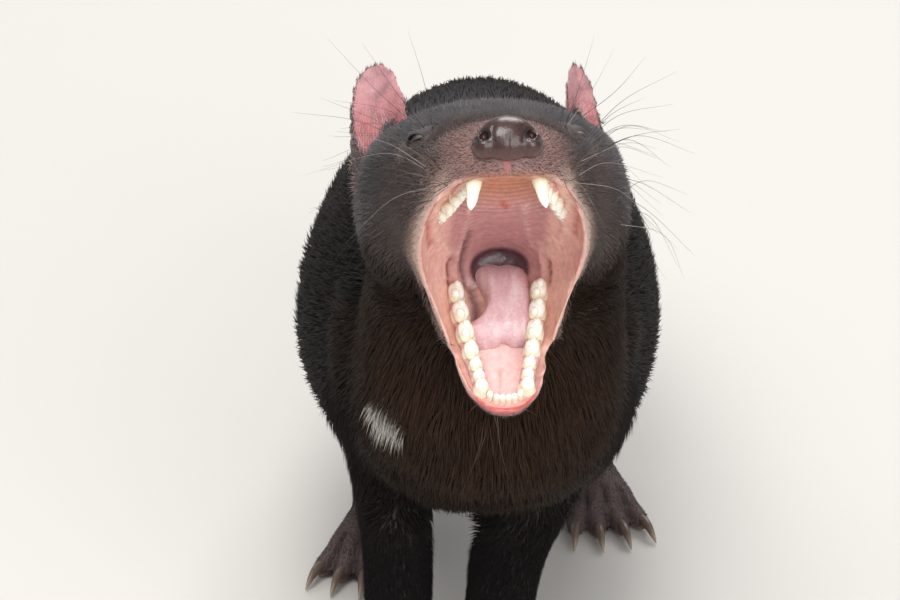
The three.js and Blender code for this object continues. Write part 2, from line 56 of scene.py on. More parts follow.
# Driving dimensions, shared with the solids
HEAD_AT = (9.5, -127, 352)  # front of the palate, in the trunk's frame
HEAD_PITCH = 43  # degrees
HEAD_YAW = 4
GAPE = 75  # degrees between the jaws
JAW_HINGE = (0, 100, 7)
EYE_AT = (34, 58, 25.5)
EYE_RADIUS = 6.4

VOXEL = 1.5 * MM
PART = 8000


# Frames


def rotation(degrees, axis):
    return Matrix.Rotation(math.radians(degrees), 4, axis)


def box_middle(node):
    low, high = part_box(node)
    return (low + high) / 2


turned_head = Matrix.Translation(HEAD_AT) @ rotation(HEAD_YAW, "Z") @ rotation(-HEAD_PITCH, "X")
# The solids stand with the middle of their outline over the origin: one eye tells how far they were moved.
SHIFT = box_middle("eye_left") / MM - turned_head @ Vector(EYE_AT)
TRUNK = Matrix.Scale(MM, 4) @ Matrix.Translation((SHIFT.x, SHIFT.y, 0))
HEAD = TRUNK @ turned_head
hinge = Matrix.Translation(JAW_HINGE)
JAW = HEAD @ hinge @ rotation(GAPE, "X") @ hinge.inverted()  # of the lower jaw as it lies when closed
FRAMES = {"trunk": TRUNK, "head": HEAD, "jaw": JAW}


def placed(points, matrix):
    m = np.array(matrix)
    return np.asarray(points, float) @ m[:3, :3].T + m[:3, 3]


def unit(v):
    return v / np.maximum(np.linalg.norm(v, axis=-1, keepdims=True), 1e-12)


def smoothstep(low, high, x):
    t = np.clip((x - low) / (high - low), 0, 1)
    return t * t * (3 - 2 * t)


def fade(low, high, x):
    return 1 - smoothstep(low, high, x)


def bell(x, width):
    """1 in the middle and about a third at the width."""
    return np.exp(-((x / width) ** 2))


def lengths(vectors):
    return np.linalg.norm(vectors, axis=-1)


def mirror(points):
    return np.asarray(points, float) * [-1, 1, 1]


def in_parts(items):
    """The items, some thousands at a time, so that the arrays worked out from them stay small."""
    for start in range(0, len(items), PART):
        yield items[start:start + PART]


# Meshes


def mesh_object(name, verts, faces, smooth=True):
    """An object from points in metres and faces that all have the same number of corners."""
    faces = np.asarray(faces, np.int32)
    count, corners = faces.shape
    mesh = bpy.data.meshes.new(name)
    mesh.vertices.add(len(verts))
    mesh.vertices.foreach_set("co", np.asarray(verts, np.float32).ravel())
    mesh.loops.add(count * corners)
    mesh.loops.foreach_set("vertex_index", faces.ravel())
    mesh.polygons.add(count)
    mesh.polygons.foreach_set("loop_start", np.arange(0, count * corners, corners, dtype=np.int32))
    mesh.update(calc_edges=True)
    mesh.polygons.foreach_set("use_smooth", np.full(count, smooth))
    made = bpy.data.objects.new(name, mesh)
    bpy.context.scene.collection.objects.link(made)
    return made


def positions(mesh):
    co = np.empty(len(mesh.vertices) * 3, np.float32)
    mesh.vertices.foreach_get("co", co)
    return co.reshape(-1, 3).astype(float)


def triangles(mesh):
    mesh.calc_loop_triangles()
    tri = np.empty(len(mesh.loop_triangles) * 3, np.int32)
    mesh.loop_triangles.foreach_get("vertices", tri)
    return tri.reshape(-1, 3)


def normals_of(verts, tris):
    face = np.cross(verts[tris[:, 1]] - verts[tris[:, 0]], verts[tris[:, 2]] - verts[tris[:, 0]])
    total = np.zeros_like(verts)
    for corner in range(3):
        for axis in range(3):
            total[:, axis] += np.bincount(tris[:, corner], face[:, axis], len(verts))
    return unit(total)


def paint(made, colours):
    """One colour for each point of the mesh."""
    rgba = np.ones((len(colours), 4), np.float32)
    rgba[:, :3] = colours
    markings = made.data.color_attributes.new("Markings", "FLOAT_COLOR", "POINT")
    markings.data.foreach_set("color", rgba.ravel())


def value_map(made, values, name):
    made.data.attributes.new(name, "FLOAT", "POINT").data.foreach_set("value", np.asarray(values, np.float32))


def search_tree(verts, faces):
    return BVHTree.FromPolygons([Vector(v) for v in verts], [tuple(map(int, f)) for f in faces])


def dress(made, material, slot, *nodes):
    made.data.materials.append(material)
    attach(made, "root")
    if nodes:
        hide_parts(*nodes)
    return made


def rings_to_mesh(rings):
    """Points and triangles of a closed tube over rings with the same count of points."""
    rings = np.asarray(rings, float)
    count, sides, _ = rings.shape
    verts = rings.reshape(-1, 3)
    k = np.arange(sides)
    nxt = (k + 1) % sides
    faces = []
    for r in range(count - 1):
        a, b = r * sides + k, r * sides + nxt
        faces += [np.stack([a, b, a + sides], 1), np.stack([b, b + sides, a + sides], 1)]
    first, last, top = len(verts), len(verts) + 1, (count - 1) * sides
    faces.append(np.stack([nxt, k, np.full(sides, first)], 1))
    faces.append(np.stack([top + k, top + nxt, np.full(sides, last)], 1))
    return np.vstack([verts, rings[0].mean(0), rings[-1].mean(0)]), np.vstack(faces)


def ring_tones(tones, sides):
    """A colour for each point of a tube, from one for each of its rings."""
    return np.vstack([np.repeat(tones, sides, 0), tones[:1], tones[-1:]])


def join_meshes(pieces):
    """One set of points and triangles from several."""
    verts, faces, start = [], [], 0
    for v, f in pieces:
        verts.append(v)
        faces.append(np.asarray(f) + start)
        start += len(v)
    return np.vstack(verts), np.vstack(faces)


def through(points, count):
    """A smooth line through points, as count points evenly spread between them."""
    p = np.asarray(points, float)
    padded = np.vstack([2 * p[0] - p[1], p, 2 * p[-1] - p[-2]])
    t = np.linspace(0, len(p) - 1, count)
    i = np.minimum(t.astype(int), len(p) - 2)
    u = (t - i)[:, None]
    a, b, c, d = (padded[i + k] for k in range(4))
    return 0.5 * (2 * b + (c - a) * u + (2 * a - 5 * b + 4 * c - d) * u**2 + (3 * b - a - 3 * c + d) * u**3)


def tube(line, radii, sides=8, squash=1.0, up=(0, 0, 1)):
    """A tapered tube along a line of points. squash flattens it along up."""
    line = np.asarray(line, float)
    along = unit(np.gradient(line, axis=0))
    across = unit(np.cross(along, np.asarray(up, float)))
    above = np.cross(across, along)
    turn = np.linspace(0, 2 * math.pi, sides, endpoint=False)
    radii = np.asarray(radii, float)[:, None, None]
    rings = line[:, None] + radii * (
        np.cos(turn)[None, :, None] * across[:, None] - squash * np.sin(turn)[None, :, None] * above[:, None]
    )
    return rings_to_mesh(rings)


# The mouth's hollow

# The line of the lips, from the middle of the upper lip round the animal's left corner to the chin.
LIP_LINE = [
    (0, 2, -6.5), (11.5, 4, -6), (18.5, 9, -6.5), (24, 16, -7.6), (30.5, 27, -10), (36, 38, -14),
    (39, 52, -19.5), (39.5, 66, -24), (36, 79, -34.5), (30, 90, -44), (25.5, 97, -55), (22, 96, -65),
    (18.8, 93, -77), (15.5, 90.5, -85), (9, 87, -91), (0, 85.7, -93.5),
]
# How far the soft edge of the lips is drawn in from each of those places
LIPS_DRAWN_IN = [
    (0, 0, 0), (0, 0, 0), (0, 0, 0), (-0.5, 0, 0), (-1.5, 0, 0), (-2.8, 0, 0), (-3.6, 0, 0),
    (-4.3, 0, -0.5), (-4.2, 0, 0.5), (-3.2, -1, 0), (-2.9, -2, 1), (-2.4, -1, 1), (-2.4, -1, 2.5),
    (-2.3, -1, 3.5), (-1.4, -0.5, 4), (0, -0.2, 4.3),
]
THROAT_AT = (2, 113, -17)
THROAT_SIZE = (13, 10)
MOUTH_RINGS = [(0, 1), (0.05, 1.05), (0.12, 1.12), (0.3, 1.18), (0.6, 1.2), (0.88, 1.06), (1, 1)]
LIP_POINTS = 288
LIP_BLUR = 5  # mm along the lips
LIP_REACH = 18  # mm out from the lips
LIP_STEPS = 2400
HOLLOW_AHEAD = 60  # mm that the hollow runs on ahead of the lips
MOUTH_MIDDLE = (0, 60, -35)
MOUTH_REACH = 95  # mm from there to the farthest place by the mouth


def lip_ring():
    """Places evenly spread along the lips, and how far each is drawn in."""
    half = np.hstack([LIP_LINE, LIPS_DRAWN_IN])
    loop = np.vstack([half, half[-2:0:-1] * [-1, 1, 1, -1, 1, 1]])
    line = through(np.vstack([loop[-3:], loop, loop[:3]]), LIP_STEPS)
    step = (LIP_STEPS - 1) / (len(loop) + 5)
    first, last = round(3 * step), round((3 + len(loop)) * step)
    line = line[first:last]
    walked = np.cumsum(lengths(np.diff(line[:, :3], axis=0)))
    wanted = np.linspace(0, walked[-1], LIP_POINTS, endpoint=False)
    chosen = line[np.minimum(np.searchsorted(walked, wanted), len(line) - 1)]
    return chosen[:, :3], chosen[:, 3:]


LIPS, LIP_MOVES = lip_ring()


def mouth_hollow():
    """A search tree of the hollow's wall, from ahead of the lips back to the throat, in the head's frame."""
    ahead = np.array([0, -math.cos(math.radians(GAPE / 2)), -math.sin(math.radians(GAPE / 2))])
    turn = math.pi / 2 - np.linspace(0, 2 * math.pi, LIP_POINTS, endpoint=False)
    throat = np.stack([THROAT_SIZE[0] * np.cos(turn), 0 * turn, THROAT_SIZE[1] * np.sin(turn)], 1) + THROAT_AT
    rings = []
    for share, swell in MOUTH_RINGS:
        ring = LIPS + (throat - LIPS) * share
        rings.append((ring - ring.mean(0)) * swell + ring.mean(0))
    rings.insert(0, rings[0] + ahead * HOLLOW_AHEAD)
    verts, faces = rings_to_mesh(rings)
    return search_tree(verts, faces)


# The coat: streams that follow its lie, on one side or both, as runs of one colour.
# A run is (colour, places), and a place is (sideways, back, up, depth of the coat), in mm.

BLACK = (0.0125, 0.0098, 0.0085)
LEG_BLACK = (0.0125, 0.011, 0.0112)
BROWN = (0.026, 0.0155, 0.0105)
RUSSET = (0.044, 0.0235, 0.0145)
# Painted sheen: the coat is black, and these greys paint the sheen of light on it over the head, the backs of
# the ears and down the nape.
DIM_SHEEN_GREY = (0.055, 0.051, 0.053)
SHEEN_GREY = (0.165, 0.155, 0.161)
GREY_BROWN = (0.15, 0.119, 0.112)
MUZZLE = (0.165, 0.108, 0.099)
FOOT = (0.085, 0.06, 0.058)

STREAMS = [
    ("head", "once",
     (MUZZLE, (0, 6, 19, 0.4), (0, 22, 27, 0.8)), (GREY_BROWN, (0, 42, 34, 1.8)), (SHEEN_GREY, (0, 62, 44, 3),
     (0, 84, 54, 3.8), (0, 105, 60, 4.5), (0, 128, 58, 6), (0, 150, 50, 6))),
    ("head", "both",
     (MUZZLE, (12, 10, 15, 0.4), (20, 26, 21, 0.9)), (GREY_BROWN, (26, 44, 27, 2)), (SHEEN_GREY,
     (32, 64, 36, 3), (38, 86, 44, 4), (40, 106, 50, 4.5), (38, 128, 48, 6))),
    ("head", "both",
     (MUZZLE, (20, 12, 7, 0.4)), (GREY_BROWN, (32, 28, 11, 0.9), (39, 44, 12, 1.6), (46, 60, 13, 2.6)),
     (SHEEN_GREY, (58, 84, 14, 4), (66, 105, 14, 6)), (BROWN, (62, 128, 10, 8), (56, 150, 4, 9))),
    ("head", "both",
     (MUZZLE, (22, 14, -3, 0.4), (31, 29, -5, 0.8)), (GREY_BROWN, (38, 43, -9, 1.1), (44, 58, -13, 2),
     (54, 80, -14, 4)), (BROWN, (61, 100, -16, 6), (58, 125, -22, 9))),
    ("head", "both",
     (GREY_BROWN, (42, 62, -24, 0.9), (50, 78, -31, 2.5)), (BROWN, (55, 98, -38, 5), (54, 122, -44, 9))),
    ("head", "both",
     (GREY_BROWN, (35, 82, -47, 0.8)), (BROWN, (41, 93, -56, 2.5), (44, 110, -66, 7))),
    ("jaw", "once",
     (MUZZLE, (0, -1, -10, 0.5), (0, 8, -17, 1.2)), (GREY_BROWN, (0, 28, -25, 2.2)), (BROWN,
     (0, 56, -33, 4), (0, 84, -40, 7), (0, 106, -43, 9))),
    ("jaw", "both",
     (MUZZLE, (13, 4, -11, 0.5)), (GREY_BROWN, (20, 18, -14, 0.9), (25, 38, -18, 1.5)), (BROWN,
     (31, 58, -21, 2.6), (41, 82, -24, 6))),
    ("head", "both",
     (SHEEN_GREY, (46, 100, 33, 2.5), (48, 104, 42, 0.7), (47, 112, 62, 0.4), (46, 118, 84, 0.4))),
    ("head", "both",
     (SHEEN_GREY, (46, 128, 30, 5), (47, 126, 44, 1.2), (47, 128, 62, 0.6), (46, 130, 84, 0.5))),
    ("trunk", "once",
     (SHEEN_GREY, (6, -20, 318, 5), (3, 20, 292, 6), (2, 62, 266, 8), (0, 110, 250, 9)), (DIM_SHEEN_GREY,
     (0, 165, 250, 8)), (BLACK, (0, 235, 223, 7), (0, 298, 192, 7), (1, 344, 157, 8), (3, 392, 114, 7),
     (7, 450, 75, 7), (11, 506, 48, 6), (14, 548, 32, 4))),
    ("trunk", "both",
     (BROWN, (56, -30, 285, 8), (60, 0, 255, 9)), (BLACK, (66, 45, 220, 9), (78, 100, 195, 9),
     (84, 160, 180, 9), (74, 228, 172, 9), (55, 295, 158, 9), (32, 344, 132, 8), (24, 392, 94, 7),
     (18, 450, 60, 7), (12, 506, 36, 6))),
    ("trunk", "both",
     (BROWN, (62, -30, 245, 9), (66, -5, 205, 9)), (BLACK, (74, 45, 165, 9), (84, 100, 135, 9),
     (86, 160, 125, 9), (74, 225, 115, 9), (54, 290, 118, 9), (28, 344, 110, 8))),
    ("trunk", "both",
     (BROWN, (22, -72, 262, 8)), (RUSSET, (34, -64, 225, 9), (40, -58, 180, 9)), (BROWN,
     (42, -36, 140, 9)), (BLACK, (42, 5, 112, 8), (40, 60, 100, 8), (40, 160, 98, 8), (34, 240, 108, 8))),
    ("trunk", "once",
     (BROWN, (5, -76, 262, 8)), (RUSSET, (5, -68, 215, 9), (3, -68, 168, 9)), (BROWN, (2, -38, 124, 9)),
     (BLACK, (1, 8, 103, 8), (0, 90, 97, 8), (0, 160, 96, 8), (0, 225, 104, 8), (0, 295, 109, 8),
     (1, 344, 100, 7), (3, 392, 69, 6), (7, 450, 39, 6), (11, 506, 22, 5), (14, 548, 18, 4))),
    ("trunk", "once",
     (BLACK, (70, 26, 170, 8), (58, 24, 138, 7)), (LEG_BLACK, (46, 20, 112, 4), (33, 8, 86, 2.8),
     (26, -2, 60, 2.2), (23, -8, 34, 1.6)), (FOOT, (23, -26, 16, 0.8), (24, -50, 9, 0.6))),
    ("trunk", "once",
     (BROWN, (22, -10, 128, 8)), (LEG_BLACK, (8, -4, 100, 4), (-6, -4, 74, 2.8), (-8, -8, 50, 2),
     (-8, -14, 30, 1.4)), (FOOT, (-8, -34, 12, 0.7))),
    ("trunk", "once",
     (BLACK, (-70, 26, 170, 8), (-68, 24, 136, 7)), (LEG_BLACK, (-62, 18, 104, 4), (-57, 4, 70, 2.6),
     (-57, -6, 36, 1.8)), (FOOT, (-60, -26, 16, 0.8), (-60, -48, 9, 0.6))),
    ("trunk", "once",
     (BROWN, (-34, -10, 128, 8)), (LEG_BLACK, (-24, -2, 100, 4), (-23, -4, 70, 2.6), (-24, -10, 38, 1.8)),
     (FOOT, (-28, -32, 12, 0.7))),
    ("trunk", "once",
     (BLACK, (74, 240, 160, 9), (86, 215, 125, 8)), (LEG_BLACK, (80, 204, 95, 5), (73, 216, 64, 4),
     (67, 224, 38, 2)), (FOOT, (72, 202, 14, 0.9), (78, 172, 9, 0.6))),
    ("trunk", "once",
     (LEG_BLACK, (36, 200, 100, 3.5), (40, 212, 64, 4), (40, 222, 38, 2)), (FOOT, (44, 196, 13, 0.8),
     (52, 168, 9, 0.6))),
    ("trunk", "once",
     (BLACK, (-74, 215, 160, 9), (-86, 182, 125, 8)), (LEG_BLACK, (-79, 166, 95, 5), (-70, 174, 64, 4),
     (-65, 178, 38, 2)), (FOOT, (-70, 154, 14, 0.9), (-76, 124, 9, 0.6))),
    ("trunk", "once",
     (LEG_BLACK, (-36, 162, 100, 3.5), (-39, 172, 64, 4), (-38, 176, 38, 2)), (FOOT, (-42, 148, 13, 0.8),
     (-50, 120, 9, 0.6))),
]
COAT_SHARE = 0.65  # of the streams' depths, for a coat that lies close
STREAM_STEP = 7 * MM
STREAM_BLUR = 7 * MM


def coat_guides():
    """Places, lie, depth and colour sampled along every stream."""
    rows = []
    for name, copies, *runs in STREAMS:
        points = np.array([(*place, *colour) for colour, *places in runs for place in places], float)
        for hand in (1, -1) if copies == "both" else (1,):
            world = placed(points[:, :3] * [hand, 1, 1], FRAMES[name])
            count = max(4, int(lengths(np.diff(world, axis=0)).sum() / STREAM_STEP))
            line = through(np.hstack([world, points[:, 3:]]), count)
            rows.append(np.hstack([line[:, :3], unit(np.gradient(line[:, :3], axis=0)), line[:, 3:]]))
    return np.vstack(rows)


GUIDES = coat_guides()
LATTICE = 5 * MM
LATTICE_HALF = 4096  # cells from its middle to its edge
CORNERS = np.array([(i, j, k) for i in (0, 1) for j in (0, 1) for k in (0, 1)])


def guided(points):
    """The streams' lie, depth and colour at each point, by nearness."""
    made = np.empty((len(points), 7))
    guides = GUIDES[:, :3]
    squares = (guides**2).sum(1)
    for part in in_parts(np.arange(len(points))):
        spots = points[part]
        away = np.maximum((spots**2).sum(1)[:, None] + squares - 2 * spots @ guides.T, 0)
        weight = (1 / (away + STREAM_BLUR**2)) ** 3
        made[part] = weight @ GUIDES[:, 3:] / weight.sum(1, keepdims=True)
    return made


def coat_at(points):
    """The coat's lie, depth in metres and colour at each point, from a lattice of nearby places."""
    cell = np.floor(points / LATTICE).astype(np.int64)
    share = points / LATTICE - cell
    places = cell[:, None] + CORNERS
    key = (places + LATTICE_HALF) @ (4 * LATTICE_HALF**2, 2 * LATTICE_HALF, 1)
    found, same = np.unique(key.ravel(), return_inverse=True)
    rest, k = np.divmod(found, 2 * LATTICE_HALF)
    spots = np.stack([*np.divmod(rest, 2 * LATTICE_HALF), k], 1) - LATTICE_HALF
    values = guided(spots * LATTICE)[same.reshape(-1, 8)]
    weight = np.where(CORNERS, share[:, None], 1 - share[:, None]).prod(2)
    made = (values * weight[..., None]).sum(1)
    return unit(made[:, :3]), made[:, 3] * COAT_SHARE * MM, made[:, 4:]


# Claws, in the trunk's frame: [heel, palm, toes, spread, toe length, toe radius, width]

FEET = {
    "forepaw_left": ((7, -4), (8, -25), 5, 14, 19, 4.6, 18.5),
    "forepaw_right": ((-43, -2), (-45, -22), 5, 14, 19, 4.6, 18.5),
    "hindfoot_left": ((52, 229), (61, 185), 4, 14, 21, 5, 18),
    "hindfoot_right": ((-50, 182), (-60, 137), 4, 14, 21, 5, 18),
}
CLAW = 13
CLAW_SIDES = 10
HORN = (0.13, 0.09, 0.07)
HORN_TIP = (0.34, 0.27, 0.20)


def toe_rows():
    """For each foot, its toes as (root, way ahead, length, radius)."""
    for heel, palm, toes, spread, toe, radius, wide in FEET.values():
        ahead = unit(np.array([palm[0] - heel[0], palm[1] - heel[1], 0.0]))
        across = np.array([-ahead[1], ahead[0], 0])
        row = []
        for place in np.linspace(-1, 1, toes):
            fan = np.array(rotation(place * spread, "Z").to_3x3() @ Vector(ahead))
            root = np.array([*palm, 0.0]) + across * place * (wide - radius * 0.9)
            row.append((root, fan, toe * (1 - 0.18 * place**2), radius))
        yield row


def claw_lines():
    lines = []
    for row in toe_rows():
        for root, fan, length, radius in row:
            steps = [
                (length * 0.68, radius * 1.15), (length + CLAW * 0.05, radius * 1.35),
                (length + CLAW * 0.4, radius * 1.2), (length + CLAW * 0.75, radius * 0.72),
                (length + CLAW, 1.3),
            ]
            lines.append(through([root + fan * far + [0, 0, z] for far, z in steps], 16))
    return lines


def toe_gaps():
    """Points along the gaps between neighbouring toes, on the floor, in metres."""
    lines = []
    for row in toe_rows():
        for (root, fan, length, _), (next_root, next_fan, _, _) in zip(row, row[1:]):
            middle, way = (root + next_root) / 2, unit(fan + next_fan)
            lines.append([middle + way * length * far for far in np.linspace(-0.1, 1.3, 24)])
    return placed(np.vstack(lines), TRUNK) * [1, 1, 0]


# The skin

FLESH_GROWN = 0.3 * MM  # so that neighbours overlap and join
SKIN_SMOOTHING = 60  # rounds
LAST_SMOOTHING = 5
EAR_HOLLOW = 3.2 * MM
RIDGE_HEIGHT = 0.8
RIDGE_STEP = 5.8


def joined_flesh():
    pieces = []
    for name in FLESH:
        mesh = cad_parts[name].data
        verts, tris = positions(mesh), triangles(mesh)
        rounded, same = np.unique(np.round(verts, 7), axis=0, return_inverse=True)
        tris = same.reshape(-1)[tris]
        pieces.append((rounded + normals_of(rounded, tris) * FLESH_GROWN, tris))
    return join_meshes(pieces)


def remeshed(verts, faces, size):
    """Points and four-sided faces of one closed surface round all of a mesh."""
    made = mesh_object("flesh", verts, faces)
    remesh = made.modifiers.new("voxels", "REMESH")
    remesh.mode = "VOXEL"
    remesh.voxel_size = size
    fine = bpy.data.meshes.new_from_object(made.evaluated_get(bpy.context.evaluated_depsgraph_get()))
    bpy.data.objects.remove(made)
    points = positions(fine)
    corners = np.empty(len(fine.loops), np.int32)
    fine.loops.foreach_get("vertex_index", corners)
    return points, corners.reshape(-1, 4)


def edges_of(quads):
    pairs = np.vstack([quads[:, [0, 1]], quads[:, [1, 2]], quads[:, [2, 3]], quads[:, [3, 0]]])
    key = np.unique(pairs.min(1).astype(np.int64) * len(quads) * 4 + pairs.max(1))
    return np.stack([key // (len(quads) * 4), key % (len(quads) * 4)], 1)


def smoothed(verts, edges, weight, rounds):
    """Each point moves towards the middle of its neighbours, by its own weight."""
    a, b = edges.T
    degree = np.bincount(a, minlength=len(verts)) + np.bincount(b, minlength=len(verts))
    verts = verts.copy()
    for _ in range(rounds):
        for axis in range(3):
            column = verts[:, axis]
            total = np.bincount(a, column[b], len(verts)) + np.bincount(b, column[a], len(verts))
            verts[:, axis] += weight * (total / degree - column)
    return verts


def split_quads(quads):
    return np.vstack([quads[:, [0, 1, 2]], quads[:, [0, 2, 3]]])


def hollow_distance(points_head, hollow):
    """How far each point is outside the mouth's hollow, in mm. Inside it is negative."""
    made = np.full(len(points_head), 50.0)
    near = lengths(points_head - MOUTH_MIDDLE) < MOUTH_REACH
    for i in np.flatnonzero(near):
        spot, normal, _, away = hollow.find_nearest(Vector(points_head[i]))
        made[i] = math.copysign(away, (Vector(points_head[i]) - spot).dot(normal))
    return made


def distance_to(points, line, reach):
    """How far each point is from the points of a line, up to reach."""
    made = np.full(len(points), float(reach))
    low, high = line.min(0) - reach, line.max(0) + reach
    near = np.flatnonzero(((points > low) & (points < high)).all(1))
    for part in in_parts(near):
        away = np.sqrt(((points[part][:, None] - line[None]) ** 2).sum(2).min(1))
        made[part] = np.minimum(away, reach)
    return made


def drawn_in(points_head, away):
    """The skin's move in mm, in the head's frame, where the lips are drawn in."""
    made = np.zeros_like(points_head)
    near = np.flatnonzero(away < 39)
    for part in in_parts(near):
        squares = ((points_head[part][:, None] - LIPS[None]) ** 2).sum(2)
        weight = np.exp((squares.min(1, keepdims=True) - squares) / (2 * LIP_BLUR**2))
        made[part] = weight @ LIP_MOVES / weight.sum(1, keepdims=True)
    return made * bell(away, LIP_REACH)[:, None]


def eye_distance(points_head):
    """How far each point is from the middle of the nearest eye, in mm."""
    return np.minimum(*(lengths(points_head - spot) for spot in (np.array(EYE_AT, float), mirror(EYE_AT))))


def ear_tree(name):
    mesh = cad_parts[name].data
    verts = positions(mesh)
    return search_tree(verts, triangles(mesh)), verts.min(0), verts.max(0)


EAR_NEAR = 15 * MM
EAR_TREES = [ear_tree("ear_left"), ear_tree("ear_right")]


def ear_distance(points):
    """How far each point is from the nearest ear's solid, up to EAR_NEAR."""
    made = np.full(len(points), EAR_NEAR)
    for tree, low, high in EAR_TREES:
        near = ((points > low - EAR_NEAR) & (points < high + EAR_NEAR)).all(1)
        away = np.array([tree.find_nearest(Vector(p))[3] for p in points[near]])
        made[near] = np.minimum(made[near], away)
    return made


def noise_at(points, size, seed=0):
    """Smooth values from -1 to 1, in patches of about this size in metres."""
    return np.array([noise.noise(Vector(p)) for p in np.asarray(points) / size + seed * 17.3])


def noise_ways(points, size, seed=0):
    return np.array([noise.noise_vector(Vector(p)) for p in np.asarray(points) / size + seed * 17.3])


def palate_ridges(p, lining):
    """Arched ridges across the palate, in mm."""
    x, back, up = p.T
    arch = back + 0.03 * x**2
    high = RIDGE_HEIGHT * smoothstep(6, 14, back) * fade(56, 70, back) * fade(17, 24, np.abs(x))
    return high * np.sin(arch * 2 * math.pi / RIDGE_STEP) * smoothstep(-26, -14, up) * lining


to_head = HEAD.inverted()
hollow_tree = mouth_hollow()
skin_verts, skin_quads = remeshed(*joined_flesh(), VOXEL)
skin_edges = edges_of(skin_quads)
skin_tris = split_quads(skin_quads)
skin_head = placed(skin_verts, to_head)
from_lips = distance_to(skin_head, LIPS, 40)
from_hollow = hollow_distance(skin_head, hollow_tree)
from_eyes = eye_distance(skin_head)
lining = fade(0.8, 2.4, from_hollow)


def coat_depth(points, depth):
    """The coat's depth in metres, which thins out round the eyes and in front of the ears."""
    spots = placed(points, to_head)
    eyes = eye_distance(spots)
    depth = np.minimum(depth, (0.2 + 5 * smoothstep(9, 22, eyes)) * MM + depth * smoothstep(14, 26, eyes))
    ahead = fade(112, 124, spots[:, 1])  # the hair is short in front of the ears
    return depth * (1 - 0.7 * ahead * fade(6 * MM, EAR_NEAR, ear_distance(points)))


_, depth, _ = coat_at(skin_verts)
depth = coat_depth(skin_verts, depth)
from_ears = ear_distance(skin_verts) / MM
in_ear = fade(1.4, 3.6, from_ears)
softness = smoothstep(0.2, 3, depth / MM) * smoothstep(3, 12, from_lips) * smoothstep(9, 16, from_eyes)
softness *= smoothstep(2, 8, from_hollow)
softness = np.maximum(0.06 + 0.44 * softness, 0.3 * lining * smoothstep(4, 9, from_lips))
softness = np.where(in_ear > 0.3, 0.03, softness)
skin_verts = smoothed(skin_verts, skin_edges, softness, SKIN_SMOOTHING)
skin_normals = normals_of(skin_verts, skin_tris)
wall = np.maximum(from_hollow - 1.5, 0) * 0.55 * MM
hollow_before_ear = fade(4, 14, from_ears) * (1 - in_ear) * (skin_head[:, 1] < 118)
inset = np.minimum(depth + EAR_HOLLOW * hollow_before_ear, wall) * (1 - lining) + 0.3 * MM * (1 - lining)
skin_verts -= skin_normals * inset[:, None]
skin_verts = smoothed(skin_verts, skin_edges, 0.25 - 0.15 * in_ear, LAST_SMOOTHING)
skin_verts += drawn_in(skin_head, from_lips) @ np.array(HEAD.to_3x3()).T
skin_normals = normals_of(skin_verts, skin_tris)
skin_verts += skin_normals * (palate_ridges(skin_head, lining) * MM)[:, None]
skin_head = placed(skin_verts, to_head)

# Camera: the photo's view, from ahead and above

CAMERA_ELEVATION = 27
CAMERA_DISTANCE = 3000  # mm
CAMERA_TARGET = (-15.6, 0, 219)  # mm, in the trunk's frame
LENS = 260
SENSOR = 36
IMAGE = (900, 600)

view_turn = math.radians(CAMERA_ELEVATION)
view_way = np.array([0, math.cos(view_turn), -math.sin(view_turn)])
view_up = np.array([0, math.sin(view_turn), math.cos(view_turn)])
camera_at = placed([CAMERA_TARGET], TRUNK)[0] - view_way * CAMERA_DISTANCE * MM


def make_camera():
    data = bpy.data.cameras.new("camera")
    data.lens = LENS
    data.sensor_width = SENSOR
    data.clip_end = 20
    camera = bpy.data.objects.new("camera", data)
    camera.location = camera_at
    camera.rotation_euler = Vector(-view_way).to_track_quat("Z", "Y").to_euler()
    bpy.context.scene.collection.objects.link(camera)
    bpy.context.scene.camera = camera


def pixels_of(points):
    away = np.asarray(points) - camera_at
    scale = IMAGE[0] * LENS / SENSOR / (away @ view_way)
    return np.stack([IMAGE[0] / 2 + away[:, 0] * scale, IMAGE[1] / 2 - (away @ view_up) * scale], 1)


skin_pixels = pixels_of(skin_verts)
skin_normals = normals_of(skin_verts, skin_tris)
facing = skin_normals @ view_way < -0.12


def on_skin(pixel):
    """The nearest place on the skin under a pixel of the photo."""
    near = np.flatnonzero((lengths(skin_pixels - pixel) < 3.2) & facing)
    return skin_verts[near[np.argmin((skin_verts[near] - camera_at) @ view_way)]]


def line_on_skin(pixels):
    flat = np.array([(*p, 0) for p in pixels], float)
    count = max(4, int(lengths(np.diff(flat, axis=0)).sum() / 2))
    return np.array([on_skin(p[:2]) for p in through(flat, count)])


# Bare skin

UPPER_LIP = (0.30, 0.15, 0.115)
PHILTRUM = (0.42, 0.14, 0.13)
LIP_PINK = (0.70, 0.41, 0.35)
LIP_RED = (0.50, 0.09, 0.08)
CORNER_RED = (0.45, 0.11, 0.08)
CHEEK_PINK = (0.76, 0.45, 0.385)
PALATE_TAN = (0.44, 0.165, 0.095)
PALATE_PINK = (0.50, 0.25, 0.245)
THROAT_SHADE = (0.07, 0.026, 0.034)
FLOOR_PINK = (0.86, 0.56, 0.55)
SKIN_PER_COAT = np.array((1.5, 1.3, 1.28))  # how much paler the bare skin is than its short hair
MARGIN = (0.56, 0.40, 0.34)
FOOT_SKIN = (0.10, 0.067, 0.064)
SOLE_SKIN = (0.22, 0.13, 0.12)
EAR_INSIDE = (0.47, 0.225, 0.24)
EAR_RED = (0.38, 0.075, 0.08)
EAR_BACK = (0.12, 0.085, 0.08)
EAR_RIM = (0.40, 0.31, 0.31)
EAR_HAIR = (0.58, 0.43, 0.43)
LID_SKIN = (0.05, 0.04, 0.04)
WHITE = (0.62, 0.59, 0.54)
WHITE_SPOT_PIXEL = (383, 427)
WHITE_SPOT_SIZE = (11 * MM, 7.6 * MM)
WHITE_LEAD = 1.5  # of the coat's depth, from a hair's root to the part of it that shows

PHILTRUM_LINE = [(508, 158), (508, 164), (508, 170)]  # pixels of the photo
